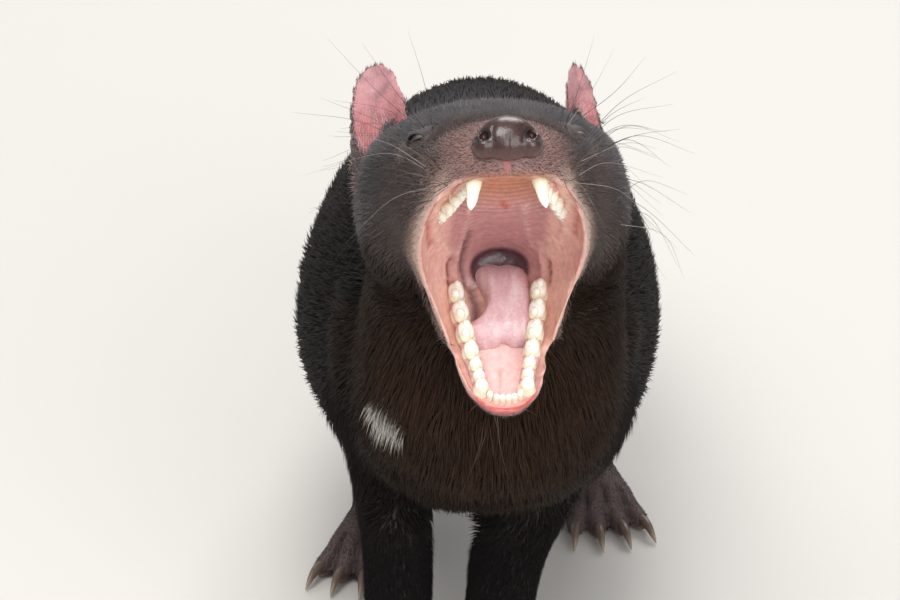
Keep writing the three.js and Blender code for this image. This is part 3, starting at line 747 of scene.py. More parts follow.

# Folds in the mouth's lining: [pixels of the photo, width mm, depth mm, colour, strength]. Some colours are
# painted shade in grooves and painted highlights on ridges, as marked.
MOUTH_FOLDS = [
    # Painted shade in the groove of the fold toward the throat and in the dark red slits beside it
    ([(470, 236), (467, 250), (465, 264), (468, 284)], 1.6, 1.4, THROAT_SHADE, 0.7),
    ([(452, 262), (451, 272), (452, 284)], 1.2, 1.3, (0.22, 0.03, 0.03), 0.85),
    ([(546, 262), (547, 272), (546, 282)], 1.2, 1.3, (0.24, 0.04, 0.04), 0.8),
    # Pale ridges of the cheek folds: partly their paler colour, partly painted highlights
    ([(459, 254), (458, 268), (459, 282)], 1.2, -0.9, CHEEK_PINK, 0.6),
    ([(538, 246), (540, 264), (540, 282)], 1.4, -0.9, CHEEK_PINK, 0.6),
    ([(438, 214), (440, 234), (449, 252), (457, 254)], 1.6, -0.9, (0.72, 0.46, 0.40), 0.45),
    ([(461, 252), (465, 236), (469, 220), (471, 205)], 1.5, -0.8, (0.72, 0.46, 0.42), 0.45),
    ([(562, 214), (561, 232), (553, 248), (544, 254)], 1.6, -0.9, (0.72, 0.46, 0.40), 0.45),
    ([(531, 250), (527, 234), (524, 220), (524, 206)], 1.5, -0.8, (0.70, 0.44, 0.42), 0.4),
    ([(432, 200), (430, 222), (433, 246)], 2.0, 0.8, CORNER_RED, 0.75),
    ([(571, 196), (574, 216), (572, 236)], 2.0, 0.8, CORNER_RED, 0.7),
    # Painted shade in the gap between the tongue and the molars
    ([(474, 288), (477, 305), (480, 322)], 2.2, 1.8, (0.14, 0.06, 0.06), 0.85),
    ([(505, 204), (506, 211)], 1.6, -0.6, (0.42, 0.07, 0.04), 0.85),
    ([(501, 366), (501, 380), (500, 392)], 0.9, 0.4, (0.62, 0.25, 0.25), 0.5),
]


def blend(a, b, share):
    share = np.asarray(share, float)[..., None]
    return np.asarray(a) * (1 - share) + np.asarray(b) * share


def ear_pose(hand, back, out, turn):
    """The way an ear opens, in the scene."""
    way = rotation(-back, "X") @ rotation(out, "Y") @ rotation(turn, "Z") @ Vector((0, -1, 0))
    return np.array((HEAD.to_3x3() @ Vector((hand * way.x, way.y, way.z))).normalized())


EAR_OPENS = {1: ear_pose(1, 14, -2, 52), -1: ear_pose(-1, 12, 1, 22)}
white_spot = on_skin(WHITE_SPOT_PIXEL)


def whiteness(points):
    away = points - white_spot
    across = np.hypot(away[:, 0], away[:, 1] * 0.5) / WHITE_SPOT_SIZE[0]
    ragged = 0.1 * noise_at(points, 4 * MM, 5)
    return fade(0.8, 1.1, np.hypot(across, away[:, 2] / WHITE_SPOT_SIZE[1]) + ragged)


def coat_colour(points):
    """The coat's lie, depth and colour at each root: its markings, with painted sheen where the streams are
    grey.
    """
    lie, depth, colour = coat_at(points)
    patch = noise_at(points, 24 * MM, 1) + 0.5 * noise_at(points, 8 * MM, 2)
    colour = colour * (1 + 0.28 * patch[:, None])
    shown = points + lie * (depth * WHITE_LEAD)[:, None]
    return lie, coat_depth(points, depth), blend(colour, WHITE, whiteness(shown))


x, back, up = skin_head.T
side = np.sign(x)
jaw_head = placed(skin_head, (HEAD.inverted() @ JAW).inverted())
opening = np.where((side > 0)[:, None], EAR_OPENS[1], EAR_OPENS[-1])
ear_faces = (skin_normals * opening).sum(1)
ear_inside = in_ear * smoothstep(-0.05, 0.3, ear_faces)
ear_rim = 0.85 * in_ear * bell(ear_faces + 0.35, 0.55)
lie, depth, fur_colour = coat_colour(skin_verts)
foot_share = fade(20 * MM, 36 * MM, skin_verts[:, 2])
sole = fade(2 * MM, 5 * MM, skin_verts[:, 2]) * (skin_normals[:, 2] < -0.2)
margin = fade(5, 13, from_lips) * smoothstep(20, 30, np.abs(x)) * (1 - lining)
bare = np.maximum(fade(0.8, 2.6, depth / MM), fade(3, 6, from_lips))
fine = noise_at(skin_verts, 5 * MM, 3)


def bare_colour():
    tone = blend(fur_colour * SKIN_PER_COAT, FOOT_SKIN, foot_share)
    tone = blend(tone, SOLE_SKIN, sole)
    tone = blend(tone, MARGIN, margin)
    tone = blend(tone, LID_SKIN, fade(9, 14, from_eyes))
    tone = blend(tone, EAR_BACK, in_ear)
    inside = blend(EAR_INSIDE, EAR_RED, fade(44, 80, up) * 0.9)
    tone = blend(tone, inside * (1 + 0.45 * fine[:, None]), ear_inside)
    return blend(tone, EAR_RIM, ear_rim)


def lining_colour():
    roof = smoothstep(-30, -16, up) * fade(19, 25, np.abs(x))
    tone = blend(CHEEK_PINK, PALATE_PINK, roof)
    tan = fade(26, 72, back + 0.3 * np.abs(x) + 6 * fine)
    # Painted light and shade: the palate is lighter on its ridges and darker between them
    tone = blend(tone, PALATE_TAN, roof * tan) * (1 + 0.3 * palate_ridges(skin_head, lining))[:, None]
    tone = blend(tone, FLOOR_PINK, fade(14, 19, np.abs(x)) * fade(-60, -44, up))
    # Painted shade: the throat goes near black where it runs on deep
    throat = smoothstep(106, 110, back) * fade(12.5, 14.5, np.hypot(x - 2, (up + 17) * 1.25))
    return blend(tone, THROAT_SHADE, throat)


def between_toes():
    """How deep each point is in a gap between toes, from 0 to 1."""
    away = distance_to(skin_verts * [1, 1, 0], toe_gaps(), 6 * MM) / MM
    low = fade(16 * MM, 26 * MM, skin_verts[:, 2])
    return bell(away, 1.5) * low * smoothstep(1 * MM, 3 * MM, skin_verts[:, 2])


def skin_colour():
    """The skin's colour, with painted shade between the toes and painted shade and highlights on the mouth's
    folds, and the folds' height, for each of its points.
    """
    tone = blend(fur_colour * 0.5, bare_colour(), bare * (1 - 0.25 * np.abs(fine)))
    rim = fade(1.6, 4.2, from_lips)
    red = fade(8, 22, jaw_head[:, 1]) * (up < -60)
    lip = blend(LIP_PINK, LIP_RED, red)
    lip = blend(lip, UPPER_LIP, fade(14, 24, np.abs(x)) * (up > -20))
    tone = blend(tone, lip, rim)
    groove = line_on_skin(PHILTRUM_LINE)
    tone = blend(tone, PHILTRUM, 0.8 * bell(distance_to(skin_verts, groove, 6 * MM), 1.7 * MM))
    tone = blend(tone, lining_colour(), lining * smoothstep(0.5, 4, from_lips))
    gaps = between_toes()
    height = -2.6 * MM * gaps
    # Painted shade: the skin darkens in the gaps between the toes
    tone = tone * (1 - 0.55 * gaps[:, None])
    for pixels, width, deep, colour, strength in MOUTH_FOLDS:
        near = bell(distance_to(skin_verts, line_on_skin(pixels), 8 * MM), width * MM) * lining
        height -= near * deep * MM
        tone = blend(tone, colour, near * strength)
    streaks = noise_at(skin_verts * [1, 1, 0.35], 3 * MM, 6) * lining
    return tone * (1 + 0.09 * streaks[:, None]), height + 0.06 * MM * streaks


tone, fold_height = skin_colour()
skin_verts = skin_verts + skin_normals * fold_height[:, None]
skin_normals = normals_of(skin_verts, skin_tris)
skin = mesh_object("skin", skin_verts, skin_quads)
paint(skin, np.clip(tone, 0, 1))
value_map(skin, np.clip(lining + 0.6 * fade(1.5, 4, from_lips), 0, 1), "Wet")

# Materials


def look(name, roughness=0.5, **inputs):
    """A principled material whose colour comes from the mesh's own markings."""
    made = bpy.data.materials.new(name)
    made.use_nodes = True
    tree = made.node_tree
    shader = tree.nodes["Principled BSDF"]
    shader.inputs["Roughness"].default_value = roughness
    for key, value in inputs.items():
        shader.inputs[key.replace("_", " ")].default_value = value
    return made, tree, shader


def texture(tree, size, kind="ShaderNodeTexNoise", stretch=(1, 1, 1), **inputs):
    """A texture whose detail is about this size in metres."""
    where = tree.nodes.new("ShaderNodeTexCoord")
    scaled = tree.nodes.new("ShaderNodeMapping")
    scaled.inputs["Scale"].default_value = stretch
    made = tree.nodes.new(kind)
    made.inputs["Scale"].default_value = 1 / size
    for key, value in inputs.items():
        made.inputs[key].default_value = value
    tree.links.new(where.outputs["Object"], scaled.inputs["Vector"])
    tree.links.new(scaled.outputs[0], made.inputs["Vector"])
    return made.outputs[0]


def mottled(tree, shader, size, amount, **inputs):
    """The markings with lighter and darker patches over them."""
    source = tree.nodes.new("ShaderNodeAttribute")
    source.attribute_name = "Markings"
    spread = tree.nodes.new("ShaderNodeMapRange")
    spread.inputs["From Min"].default_value = 0.3
    spread.inputs["From Max"].default_value = 0.7
    spread.inputs["To Min"].default_value = 1 - amount
    spread.inputs["To Max"].default_value = 1 + amount
    tree.links.new(texture(tree, size, **inputs), spread.inputs["Value"])
    shaded = tree.nodes.new("ShaderNodeVectorMath")
    shaded.operation = "SCALE"
    tree.links.new(source.outputs["Color"], shaded.inputs[0])
    tree.links.new(spread.outputs[0], shaded.inputs["Scale"])
    tree.links.new(shaded.outputs[0], shader.inputs["Base Color"])


def bumps(tree, shader, *layers):
    """Bump from layers of (texture, height in metres)."""
    below = None
    for height_map, distance in layers:
        bump = tree.nodes.new("ShaderNodeBump")
        bump.inputs["Distance"].default_value = distance
        tree.links.new(height_map, bump.inputs["Height"])
        if below:
            tree.links.new(below, bump.inputs["Normal"])
        below = bump.outputs[0]
    tree.links.new(below, shader.inputs["Normal"])


def skin_look():
    made, tree, shader = look("skin", Subsurface_Weight=0.15, Subsurface_Scale=0.0015)
    shader.inputs["Subsurface Radius"].default_value = (1, 0.35, 0.25)
    mottled(tree, shader, 2.5 * MM, 0.12, Detail=4)
    bumps(tree, shader, (texture(tree, 2.4 * MM), 0.25 * MM), (texture(tree, 0.7 * MM), 0.07 * MM))
    wet = tree.nodes.new("ShaderNodeAttribute")
    wet.attribute_name = "Wet"
    gloss = tree.nodes.new("ShaderNodeMapRange")
    gloss.inputs["To Min"].default_value = 0.62
    gloss.inputs["To Max"].default_value = 0.24
    tree.links.new(wet.outputs["Fac"], gloss.inputs["Value"])
    tree.links.new(gloss.outputs[0], shader.inputs["Roughness"])
    return made


def coat_look():
    made, tree, shader = look("coat", 0.68, Specular_IOR_Level=0.12)
    mottled(tree, shader, 0.6 * MM, 0.3, Detail=2)
    return made


def wet_look(name, roughness, grain, height, patch, amount):
    made, tree, shader = look(name, roughness, Coat_Weight=0.35, Coat_Roughness=0.12, Subsurface_Weight=0.15)
    shader.inputs["Subsurface Radius"].default_value = (1, 0.4, 0.3)
    shader.inputs["Subsurface Scale"].default_value = 0.0015
    mottled(tree, shader, patch, amount)
    bumps(tree, shader, (texture(tree, grain), height))
    return made


def tooth_look():
    made, tree, shader = look("tooth", 0.2, Subsurface_Weight=0.2, Subsurface_Scale=0.001)
    mottled(tree, shader, 1.2 * MM, 0.07, Detail=6)
    bumps(tree, shader, (texture(tree, 0.8 * MM, Detail=5), 0.06 * MM))
    return made


def nose_look():
    made, tree, shader = look("nose_pad", 0.34, Coat_Weight=0.35, Coat_Roughness=0.18)
    mottled(tree, shader, 1.1 * MM, 0.2, kind="ShaderNodeTexVoronoi")
    cells = texture(tree, 0.8 * MM, "ShaderNodeTexVoronoi")
    bumps(tree, shader, (cells, 0.07 * MM), (texture(tree, 3 * MM), 0.15 * MM))
    return made


def horn_look():
    made, tree, shader = look("claw", 0.35)
    mottled(tree, shader, 1.0 * MM, 0.2, stretch=(1, 0.2, 1), Detail=5)
    bumps(tree, shader, (texture(tree, 0.5 * MM, stretch=(1, 0.15, 1)), 0.1 * MM))
    return made


def hair_look():
    made, tree, shader = look("whiskers", 0.4)
    mottled(tree, shader, 1.5 * MM, 0.15)
    return made


def eye_look():
    made, tree, shader = look("eye", 0.08, Coat_Weight=1.0, Coat_Roughness=0.02)
    mottled(tree, shader, 0.7 * MM, 0.3, Detail=6)
    bumps(tree, shader, (texture(tree, 1.1 * MM), 0.02 * MM))
    return made


dress(skin, skin_look(), "face", *FLESH)

# Gums and teeth, square to their jaw, in the head's frame for the upper and the jaw's for the lower

GUMS = {
    "upper": {
        "row": [(0, 6), (8, 7), (14, 11), (17.5, 20), (21, 33), (25, 47), (27.5, 60), (28, 68)],
        "wide": 3.5, "high": 2.6, "level": -3.6, "up": -1,
    },
    "lower": {
        "row": [
            (0, 8.6), (5, 9.8), (9.2, 14.4), (10.8, 22), (13, 31), (15.2, 43), (17.2, 54), (18.6, 63),
            (19.2, 71),
        ],
        "wide": 3.4, "high": 3.3, "level": -9.4, "up": 1,
    },
}
# [kind, sideways, back, half width, half length, height, lean forward, lean outward]
TEETH = {
    "upper": [
        ("peg", 1.6, 5, 1.3, 1.4, 1.4, 0, 0), ("peg", 4.6, 5.3, 1.3, 1.4, 1.4, 0, 0),
        ("peg", 7.6, 6, 1.3, 1.4, 1.5, 0, 0), ("fang", 14, 11.5, 3.8, 4.4, 15.4, 1, 2.5),
        ("molar", 17.3, 20, 2.6, 3.2, 6.5, 0, 0), ("molar", 18.8, 26, 3, 3.6, 7.2, 0, 0),
        ("molar", 21, 33.5, 3.7, 4.5, 8, 0, 0), ("molar", 23.7, 43, 4.2, 5.2, 9, 0, 0),
        ("molar", 26.2, 53, 4.4, 5.2, 8.6, 0, 0), ("molar", 27.6, 61.5, 3.8, 3.4, 7.2, 0, 0),
    ],
    "lower": [
        ("peg", 1.35, 8.5, 1.8, 1.75, 8.6, -0.4, 0), ("peg", 4, 9, 1.8, 1.75, 8.6, -0.4, 0),
        ("peg", 6.5, 10.6, 1.8, 1.8, 8.6, -0.4, 0.3), ("tusk", 9.7, 15, 4.7, 4.9, 11, -0.2, 0.8),
        ("molar", 10.9, 21.8, 3.5, 3.4, 8.5, 0, 0), ("molar", 12, 27.6, 3.6, 3.6, 9, 0, 0),
        ("molar", 13.6, 35, 4.2, 5, 10, 0, 0), ("molar", 15.4, 44.6, 4.6, 5.7, 10.5, 0, 0),
        ("molar", 17.2, 55, 4.7, 5.8, 10.5, 0, 0), ("molar", 18.6, 65.2, 4.6, 5.7, 10.5, 0, 0),
    ],
}
CUSPS = [(-0.42, 0.18, 0.66, 0.84), (0.34, -0.12, 0.74, 0.88)]  # [along, across, size, height]
BLUNTNESS = {"peg": 1.0, "fang": 0.55, "tusk": 0.62, "molar": 0.86, "cusp": 0.5}
ENAMEL_ROOT = (0.74, 0.60, 0.38)
ENAMEL = (0.90, 0.83, 0.66)
ENAMEL_TIP = (0.94, 0.91, 0.82)


def crown(kind, spot, along, up, wide, long, high, forward=0, outward=0, sunk=2.5):
    """Points, triangles and colours of a tooth on its gum."""
    sides, levels = 16, 12
    share = np.linspace(0, 1, levels)
    point = BLUNTNESS[kind]
    swell = 0.86 + 0.14 * np.sin(np.minimum(share * 1.8, 1) * math.pi)
    taper = (1 - (1 - point) * share**1.5) * swell
    taper *= np.sqrt(np.maximum(1 - np.clip((share - 0.74) / 0.265, 0, 1) ** 2, 0.003))
    turn = np.arange(sides) * 2 * math.pi / sides
    power = 0.8 if kind == "molar" else 1
    c = np.sign(np.cos(turn)) * np.abs(np.cos(turn)) ** power
    s = np.sign(np.sin(turn)) * np.abs(np.sin(turn)) ** power
    across = np.array([-along[1], along[0], 0])
    rings = np.empty((levels, sides, 3))
    lean = share**1.5
    for i in range(levels):
        middle = np.array([spot[0] + outward * lean[i], spot[1] - forward * lean[i], 0])
        height = up * (share[i] * (high + sunk) - sunk)
        rings[i] = middle + c[:, None] * along * long * taper[i] + up * s[:, None] * across * wide * taper[i]
        rings[i, :, 2] += height
    verts, faces = rings_to_mesh(rings)
    colour = blend(ENAMEL_ROOT, ENAMEL, smoothstep(0.15, 0.5, share))
    colour = blend(colour, ENAMEL_TIP, smoothstep(0.55, 1, share))
    colours = ring_tones(colour, sides)
    return verts, faces, colours


def tooth(kind, x, back, wide, long, high, forward, outward, along, up):
    """A tooth as one or more crowns. A molar has a low body and cusps along it."""
    spot = np.array([x, back, 0])
    if kind != "molar":
        return [crown(kind, spot, along, up, wide, long, high, forward, outward)]
    made = [crown("molar", spot, along, up, wide, long, high * 0.8, forward, outward)]
    across = np.array([-along[1], along[0], 0])
    for shift, inward, size, tall in CUSPS:
        place = spot + along * shift * long + across * inward * wide
        sizes = (wide * size, long * size, high * tall)
        made.append(crown("cusp", place, along, up, *sizes, forward, outward, sunk=-high * 0.3))
    return made


def arch_line(row, count):
    half = np.array([(*p, 0) for p in row], float)
    return through(np.vstack([mirror(half[:0:-1]), half]), count)


def teeth(jaw):
    gum = GUMS[jaw]
    line = arch_line(gum["row"], 400)
    ways = unit(np.gradient(line, axis=0))
    parts, colours = [], []
    for kind, x, back, *shape in TEETH[jaw]:
        for hand in (1, -1):
            nearest = np.argmin(lengths(line[:, :2] - [hand * x, back]))
            *sizes, outward = shape
            made = tooth(kind, hand * x, back, *sizes, hand * outward, ways[nearest], gum["up"])
            for verts, faces, colour in made:
                parts.append((verts, faces))
                colours.append(colour)
    verts, faces = join_meshes(parts)
    return verts + [0, 0, gum["level"]], faces, np.vstack(colours)


def gum_arch(jaw):
    gum = GUMS[jaw]
    line = arch_line(gum["row"], 220)
    along = unit(np.gradient(line, axis=0))
    across = np.cross([0, 0, 1], along)
    spots = np.array([(x, back) for _, x, back, *_ in TEETH[jaw]])
    spots = np.vstack([spots, spots * [-1, 1]])
    near = lengths(line[:, None, :2] - spots[None]).min(1)
    turn = np.linspace(0, 2 * math.pi, 24, endpoint=False)
    c, s = np.cos(turn), np.sin(turn)
    rise = 1 + 0.16 * smoothstep(0.5, 3, near)[:, None] * (s * gum["up"] > 0.3) + 0.05 * np.sin(turn * 5)
    ends = np.sqrt(np.clip(1 - np.abs(np.linspace(-1, 1, len(line))) ** 14, 0.02, 1))
    size = rise * ends[:, None]
    rings = line[:, None] + (c * size)[..., None] * gum["wide"] * across[:, None]
    rings = rings + (s * size)[..., None] * np.array([0, 0, gum["high"]]) + [0, 0, gum["level"]]
    verts, faces = rings_to_mesh(rings)
    tone = blend(CHEEK_PINK, LIP_RED, 0.28 + 0.25 * noise_at(verts, 4, 8))
    if jaw == "upper":
        tone = blend(tone, PALATE_TAN, fade(9, 14, np.abs(verts[:, 0])))
    return verts, faces, tone


def outward_faces(verts, faces):
    """The same triangles, turned so that their normals point out of the closed form."""
    a, b, c = (verts[faces[:, k]] for k in range(3))
    volume = np.einsum("ij,ij->i", a, np.cross(b, c)).sum()
    return faces if volume > 0 else faces[:, ::-1]


def add_piece(name, made, matrix, material, slot, *nodes):
    verts, faces, colours = made
    verts = placed(verts, matrix)
    piece = mesh_object(name, verts, outward_faces(verts, faces))
    paint(piece, np.clip(colours, 0, 1))
    return dress(piece, material, slot, *nodes)


wet_gum = wet_look("gum", 0.3, 1.2 * MM, 0.15 * MM, 3 * MM, 0.12)
enamel = tooth_look()
for jaw, matrix in (("upper", HEAD), ("lower", JAW)):
    add_piece(jaw + "_gum", gum_arch(jaw), matrix, wet_gum, "gum", jaw + "_gum_and_teeth")
    add_piece(jaw + "_teeth", teeth(jaw), matrix, enamel, "gum")

# The tongue, in the closed jaw's frame

# [place, half width, height above, height below, notch of its right edge]
TONGUE = [
    (1, 96, -37, 12.3, 8, 8, 0), (1.3, 88, -30, 13.4, 8.5, 8, -0.18),
    (1.6, 79, -18.5, 13.8, 8.6, 8, -0.02), (1.8, 71, -12.4, 13.6, 8.2, 8, 0.32),
    (1.8, 62, -10.2, 13.2, 7.4, 7.5, 0.5), (1.6, 54.5, -9.6, 13.2, 6.2, 6.5, 0.28),
    (1.2, 49, -10.2, 14.4, 6.2, 5.8, -0.12), (1, 45.2, -12.8, 14.2, 5.6, 5.2, -0.06),
    (1, 44.4, -17, 11.4, 4.2, 4.2, 0),
]
TONGUE_ROWS = 90
TONGUE_SIDES = 56
TONGUE_LILAC = (0.68, 0.44, 0.47)
TONGUE_PALE_SHEEN = (0.82, 0.65, 0.67)
TONGUE_ROSE = (0.56, 0.26, 0.27)


def tongue():
    rows = through(np.array(TONGUE, float), TONGUE_ROWS)
    line, (wide, above, below, notch) = rows[:, :3], rows[:, 3:].T[..., None]
    along = unit(np.gradient(line, axis=0))
    over = unit(np.cross(np.array([1.0, 0, 0]), along))
    over *= np.sign(over[:, 2:3] + 1e-9)
    over[-24:] = unit(over[-24:] * np.sign(over[-24:, 1:2] * -1 + over[-24:, 2:3]))
    turn = np.linspace(0, 2 * math.pi, TONGUE_SIDES, endpoint=False)
    c, s = np.cos(turn), np.sin(turn)
    reach = np.linspace(0, 1, len(rows))[:, None]
    flat = np.abs(c) ** 0.8 * np.sign(c)
    sideways = wide * flat * np.where(c < 0, 1 - notch, 1)
    lift = np.where(s > 0, above, below) * np.abs(s) ** 0.75 * np.sign(s)
    x = sideways / 14
    groove = 1.5 * bell(x - 0.05, 0.2) + 0.6 * bell(x - 0.5, 0.16)
    groove += 0.7 * bell(x + 0.45, 0.16) * smoothstep(0.4, 0.8, reach)
    lift = lift - groove * (s > 0) * smoothstep(0.05, 0.4, reach) * np.abs(s)
    edge = 1.6 * np.abs(x) ** 3 * smoothstep(0.45, 0.85, reach) * (s > -0.3)
    lobes = 3.2 * bell(x - 0.02, 0.2) * smoothstep(0.82, 0.97, reach)
    rings = line[:, None] + sideways[..., None] * [1.0, 0, 0] + (lift + edge)[..., None] * over[:, None]
    rings[..., 1] += lobes
    verts, faces = rings_to_mesh(rings)
    flank = np.append(np.abs(x), [0.5, 0.5])
    tone = blend(TONGUE_LILAC, TONGUE_ROSE, smoothstep(0.6, 1, flank) * 0.8)
    # Pale streaks along the tongue: partly its pale top, partly painted highlights along its length
    sheen_streak = noise_at(verts * [1, 0.22, 0.3], 2.2, 4)
    tone = blend(tone, TONGUE_PALE_SHEEN, smoothstep(-0.1, 0.5, sheen_streak) * 0.7)
    tip = np.append(np.repeat(reach, len(turn)), [0, 1])
    # The tip darkens to rose: painted shade in the crease under its curled tip
    return verts, faces, blend(tone, TONGUE_ROSE, smoothstep(0.9, 1, tip) * 0.8)


wet_tongue = wet_look("tongue", 0.38, 0.7 * MM, 0.16 * MM, 1.4 * MM, 0.1)
add_piece("tongue_skin", tongue(), JAW, wet_tongue, "tongue", "tongue")

# The nose pad, in the head's frame

NOSE_BROWN = (0.036, 0.0125, 0.0105)
NOSE_PINK = (0.20, 0.06, 0.05)
NOSE_PIT_SHADE = (0.006, 0.003, 0.003)
NOSTRIL = (10.4, -10.5, 9)
# [line, width, depth] of the slits that run out from the nostrils and the groove down the middle
NOSE_GROOVES = [
    ([(9.4, -11, 8.2), (12, -9.6, 7.2), (14.6, -7.4, 6.6), (16.6, -4.6, 6.6)], 1.1, 1.7),
    ([(-9.4, -11, 8.2), (-12, -9.6, 7.2), (-14.6, -7.4, 6.6), (-16.6, -4.6, 6.6)], 1.1, 1.7),
    ([(0, -12.4, 7), (0, -11.5, 3), (0, -8.5, -0.5)], 0.7, 0.5),
    ([(6.6, -11, 12), (7.2, -11.6, 9), (6.8, -11.4, 5.4)], 1.2, 0.5),
    ([(-6.6, -11, 12), (-7.2, -11.6, 9), (-6.8, -11.4, 5.4)], 1.2, 0.5),
]


def nose():
    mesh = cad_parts["nose"].data
    verts, quads = remeshed(positions(mesh), triangles(mesh), 0.5 * MM)
    verts = smoothed(verts, edges_of(quads), np.full(len(verts), 0.5), 14)
    tris = split_quads(quads)
    local = placed(verts, to_head)
    normals = normals_of(local, tris)
    groove_shade = np.zeros(len(local))
    for points, width, deep in NOSE_GROOVES:
        near = bell(distance_to(local, through(points, 30), 6), width)
        local = local - normals * (near * deep)[:, None]
        groove_shade = np.maximum(groove_shade, near * min(deep, 1))
    holes = [lengths(local - np.array(NOSTRIL) * [hand, 1, 1]) for hand in (1, -1)]
    hole = fade(2.6, 4.4, np.minimum(*holes))
    low = fade(-1, 3, local[:, 2])
    tone = blend(NOSE_BROWN, NOSE_PINK, low * 0.25)
    # Painted shade: near black in the nostrils and in the grooves and slits
    return local, tris, blend(tone, NOSE_PIT_SHADE, np.maximum(hole, groove_shade * 0.75))


add_piece("nose_pad", nose(), HEAD, nose_look(), "nose_pad", "nose")

# Eyes and lids, each in its own frame, which looks along -Y

EYE_OUT = {1: 24, -1: 6}  # degrees from straight ahead: the lids of the right eye are drawn in
EYE_UP = 12
EYE_SIDES = 40
IRIS = (0.035, 0.016, 0.008)
PUPIL = (0.002, 0.002, 0.002)
EYE_WHITE = (0.20, 0.13, 0.11)
EYE_IN = {1: 1.5, -1: 2.6}  # mm, towards the middle
LID_GAP = 6  # degrees from the eye's middle to each lid
LID_HIGHLIGHTS = {"upper": (0.70, 0.55, 0.52), "lower": (0.16, 0.11, 0.105)}
LID_DARK = (0.036, 0.029, 0.028)


def eye_frame(hand):
    place = Matrix.Translation([hand * (EYE_AT[0] - EYE_IN[hand]), *EYE_AT[1:]])
    return HEAD @ place @ rotation(hand * EYE_OUT[hand], "Z") @ rotation(-EYE_UP, "X")


def eyeball():
    """A ball with a slight bulge over its iris."""
    rings = []
    for polar in np.linspace(2, 178, 36):
        turn = np.linspace(0, 2 * math.pi, EYE_SIDES, endpoint=False)
        bulge = 1 + 0.05 * bell(polar, 30)
        r, y = math.sin(math.radians(polar)), -math.cos(math.radians(polar))
        ring = np.stack([r * np.cos(turn), np.full(EYE_SIDES, y), r * np.sin(turn)], 1)
        rings.append(EYE_RADIUS * bulge * ring)
    verts, faces = rings_to_mesh(rings)
    off = np.degrees(np.arccos(np.clip(-verts[:, 1] / lengths(verts), -1, 1)))
    tone = blend(PUPIL, IRIS, smoothstep(15, 19, off))
    return verts, faces, blend(tone, EYE_WHITE, smoothstep(40, 45, off))


def lid(which, hand):
    """A curved shell over the eye, with a rounded margin along the slit, a painted highlight towards the nose
    and painted shade along the slit.
    """
    up = 1 if which == "upper" else -1
    rings = []
    for aside in np.linspace(-80, 80, 33):
        a = math.radians(aside)
        edge = LID_GAP * math.cos(math.radians(aside * 1.05)) * (0.7 if up > 0 else 0.9) - 1.5 * up
        sweep = np.linspace(edge, 72, 12)
        outer, inner = EYE_RADIUS + 1.15, EYE_RADIUS + 0.2
        swell = 1 + 0.05 * bell(sweep - edge, 9)
        r = np.hstack([(outer * 1.02 + inner) / 2 + 0.25, outer * swell, np.full(len(sweep), inner)])
        e = np.radians(np.hstack([edge - 1.6, sweep, sweep[::-1]])) * up
        rings.append(np.stack([r * np.cos(e) * math.sin(a), -r * np.cos(e) * math.cos(a), r * np.sin(e)], 1))
    verts, faces = rings_to_mesh(rings)
    # Painted highlight towards the nose, bright on the upper lid and dim on the lower, and painted shade
    # along the slit
    close = np.abs(verts[:, 2]) < 1.1
    pale = np.exp(-(((verts[:, 0] + hand * 2) / 4) ** 2) - ((verts[:, 2] - up * 2) / 2.8) ** 2)
    tone = blend(LID_DARK, LID_HIGHLIGHTS[which], pale)
    tone = blend(tone, (0.03, 0.015, 0.012), close * 0.6)
    return verts, faces, tone


bare_lid = wet_look("lid", 0.42, 0.5 * MM, 0.12 * MM, 1.2 * MM, 0.14)
dark_eye = eye_look()
for hand, side_name in ((1, "left"), (-1, "right")):
    add_piece("eyeball_" + side_name, eyeball(), eye_frame(hand), dark_eye, "eye", "eye_" + side_name)
    for which in ("upper", "lower"):
        add_piece(f"{which}_lid_{side_name}", lid(which, hand), eye_frame(hand), bare_lid, "face")


def claws():
    parts, colours = [], []
    for line in claw_lines():
        share = np.linspace(0, 1, len(line))
        verts, faces = tube(line, 2.4 * (1 - share**1.7) + 0.22, CLAW_SIDES, squash=1.25)
        parts.append((verts, faces))
        tone = blend(HORN, HORN_TIP, smoothstep(0.5, 1, share))
        colours.append(ring_tones(tone, CLAW_SIDES))
    verts, faces = join_meshes(parts)
    return verts, faces, np.vstack(colours)


add_piece("claws", claws(), TRUNK, horn_look(), "foot_skin")
claw_points = placed(np.vstack([line[2:] for line in claw_lines()]), TRUNK)

# Whiskers, in the head's frame

WHISKER_BLACK = (0.012, 0.010, 0.010)
WHISKER_BROWN = (0.10, 0.06, 0.04)
WHISKER_PALE = (0.26, 0.22, 0.19)
# [how many, roots from and to, tips from and to, droop, thickness]: spread evenly between the two ends
WHISKER_ROWS = [
    (8, (24, 18, 6), (33, 34, 7), (84, 34, 52), (92, 74, 22), 5, 0.17),
    (8, (25, 17, 1), (36, 37, 0), (82, 40, 26), (88, 84, -12), 8, 0.17),
    (7, (26, 19, -3), (36, 38, -8), (70, 44, -4), (84, 92, -36), 8, 0.16),
    (4, (24, 15, -4), (28, 22, -6), (46, 26, -20), (54, 40, -26), 5, 0.13),
    (3, (30, 48, 31), (33, 54, 33), (52, 40, 88), (70, 70, 78), -3, 0.16),
    (3, (50, 76, 2), (54, 84, -6), (88, 96, 10), (86, 110, -30), 6, 0.16),
]
# [root pixel, middle pixel, tip pixel] of the long hairs under the chin
CHIN_HAIRS = [
    ((484, 414), (478, 450), (459, 495)), ((486, 415), (484, 436), (474, 470)),
    ((487, 416), (489, 440), (495, 462)), ((498, 418), (501, 452), (511, 490)),
    ((494, 418), (497, 430), (499, 446)), ((476, 404), (470, 412), (466, 425)),
    ((522, 408), (530, 414), (541, 420)),
]


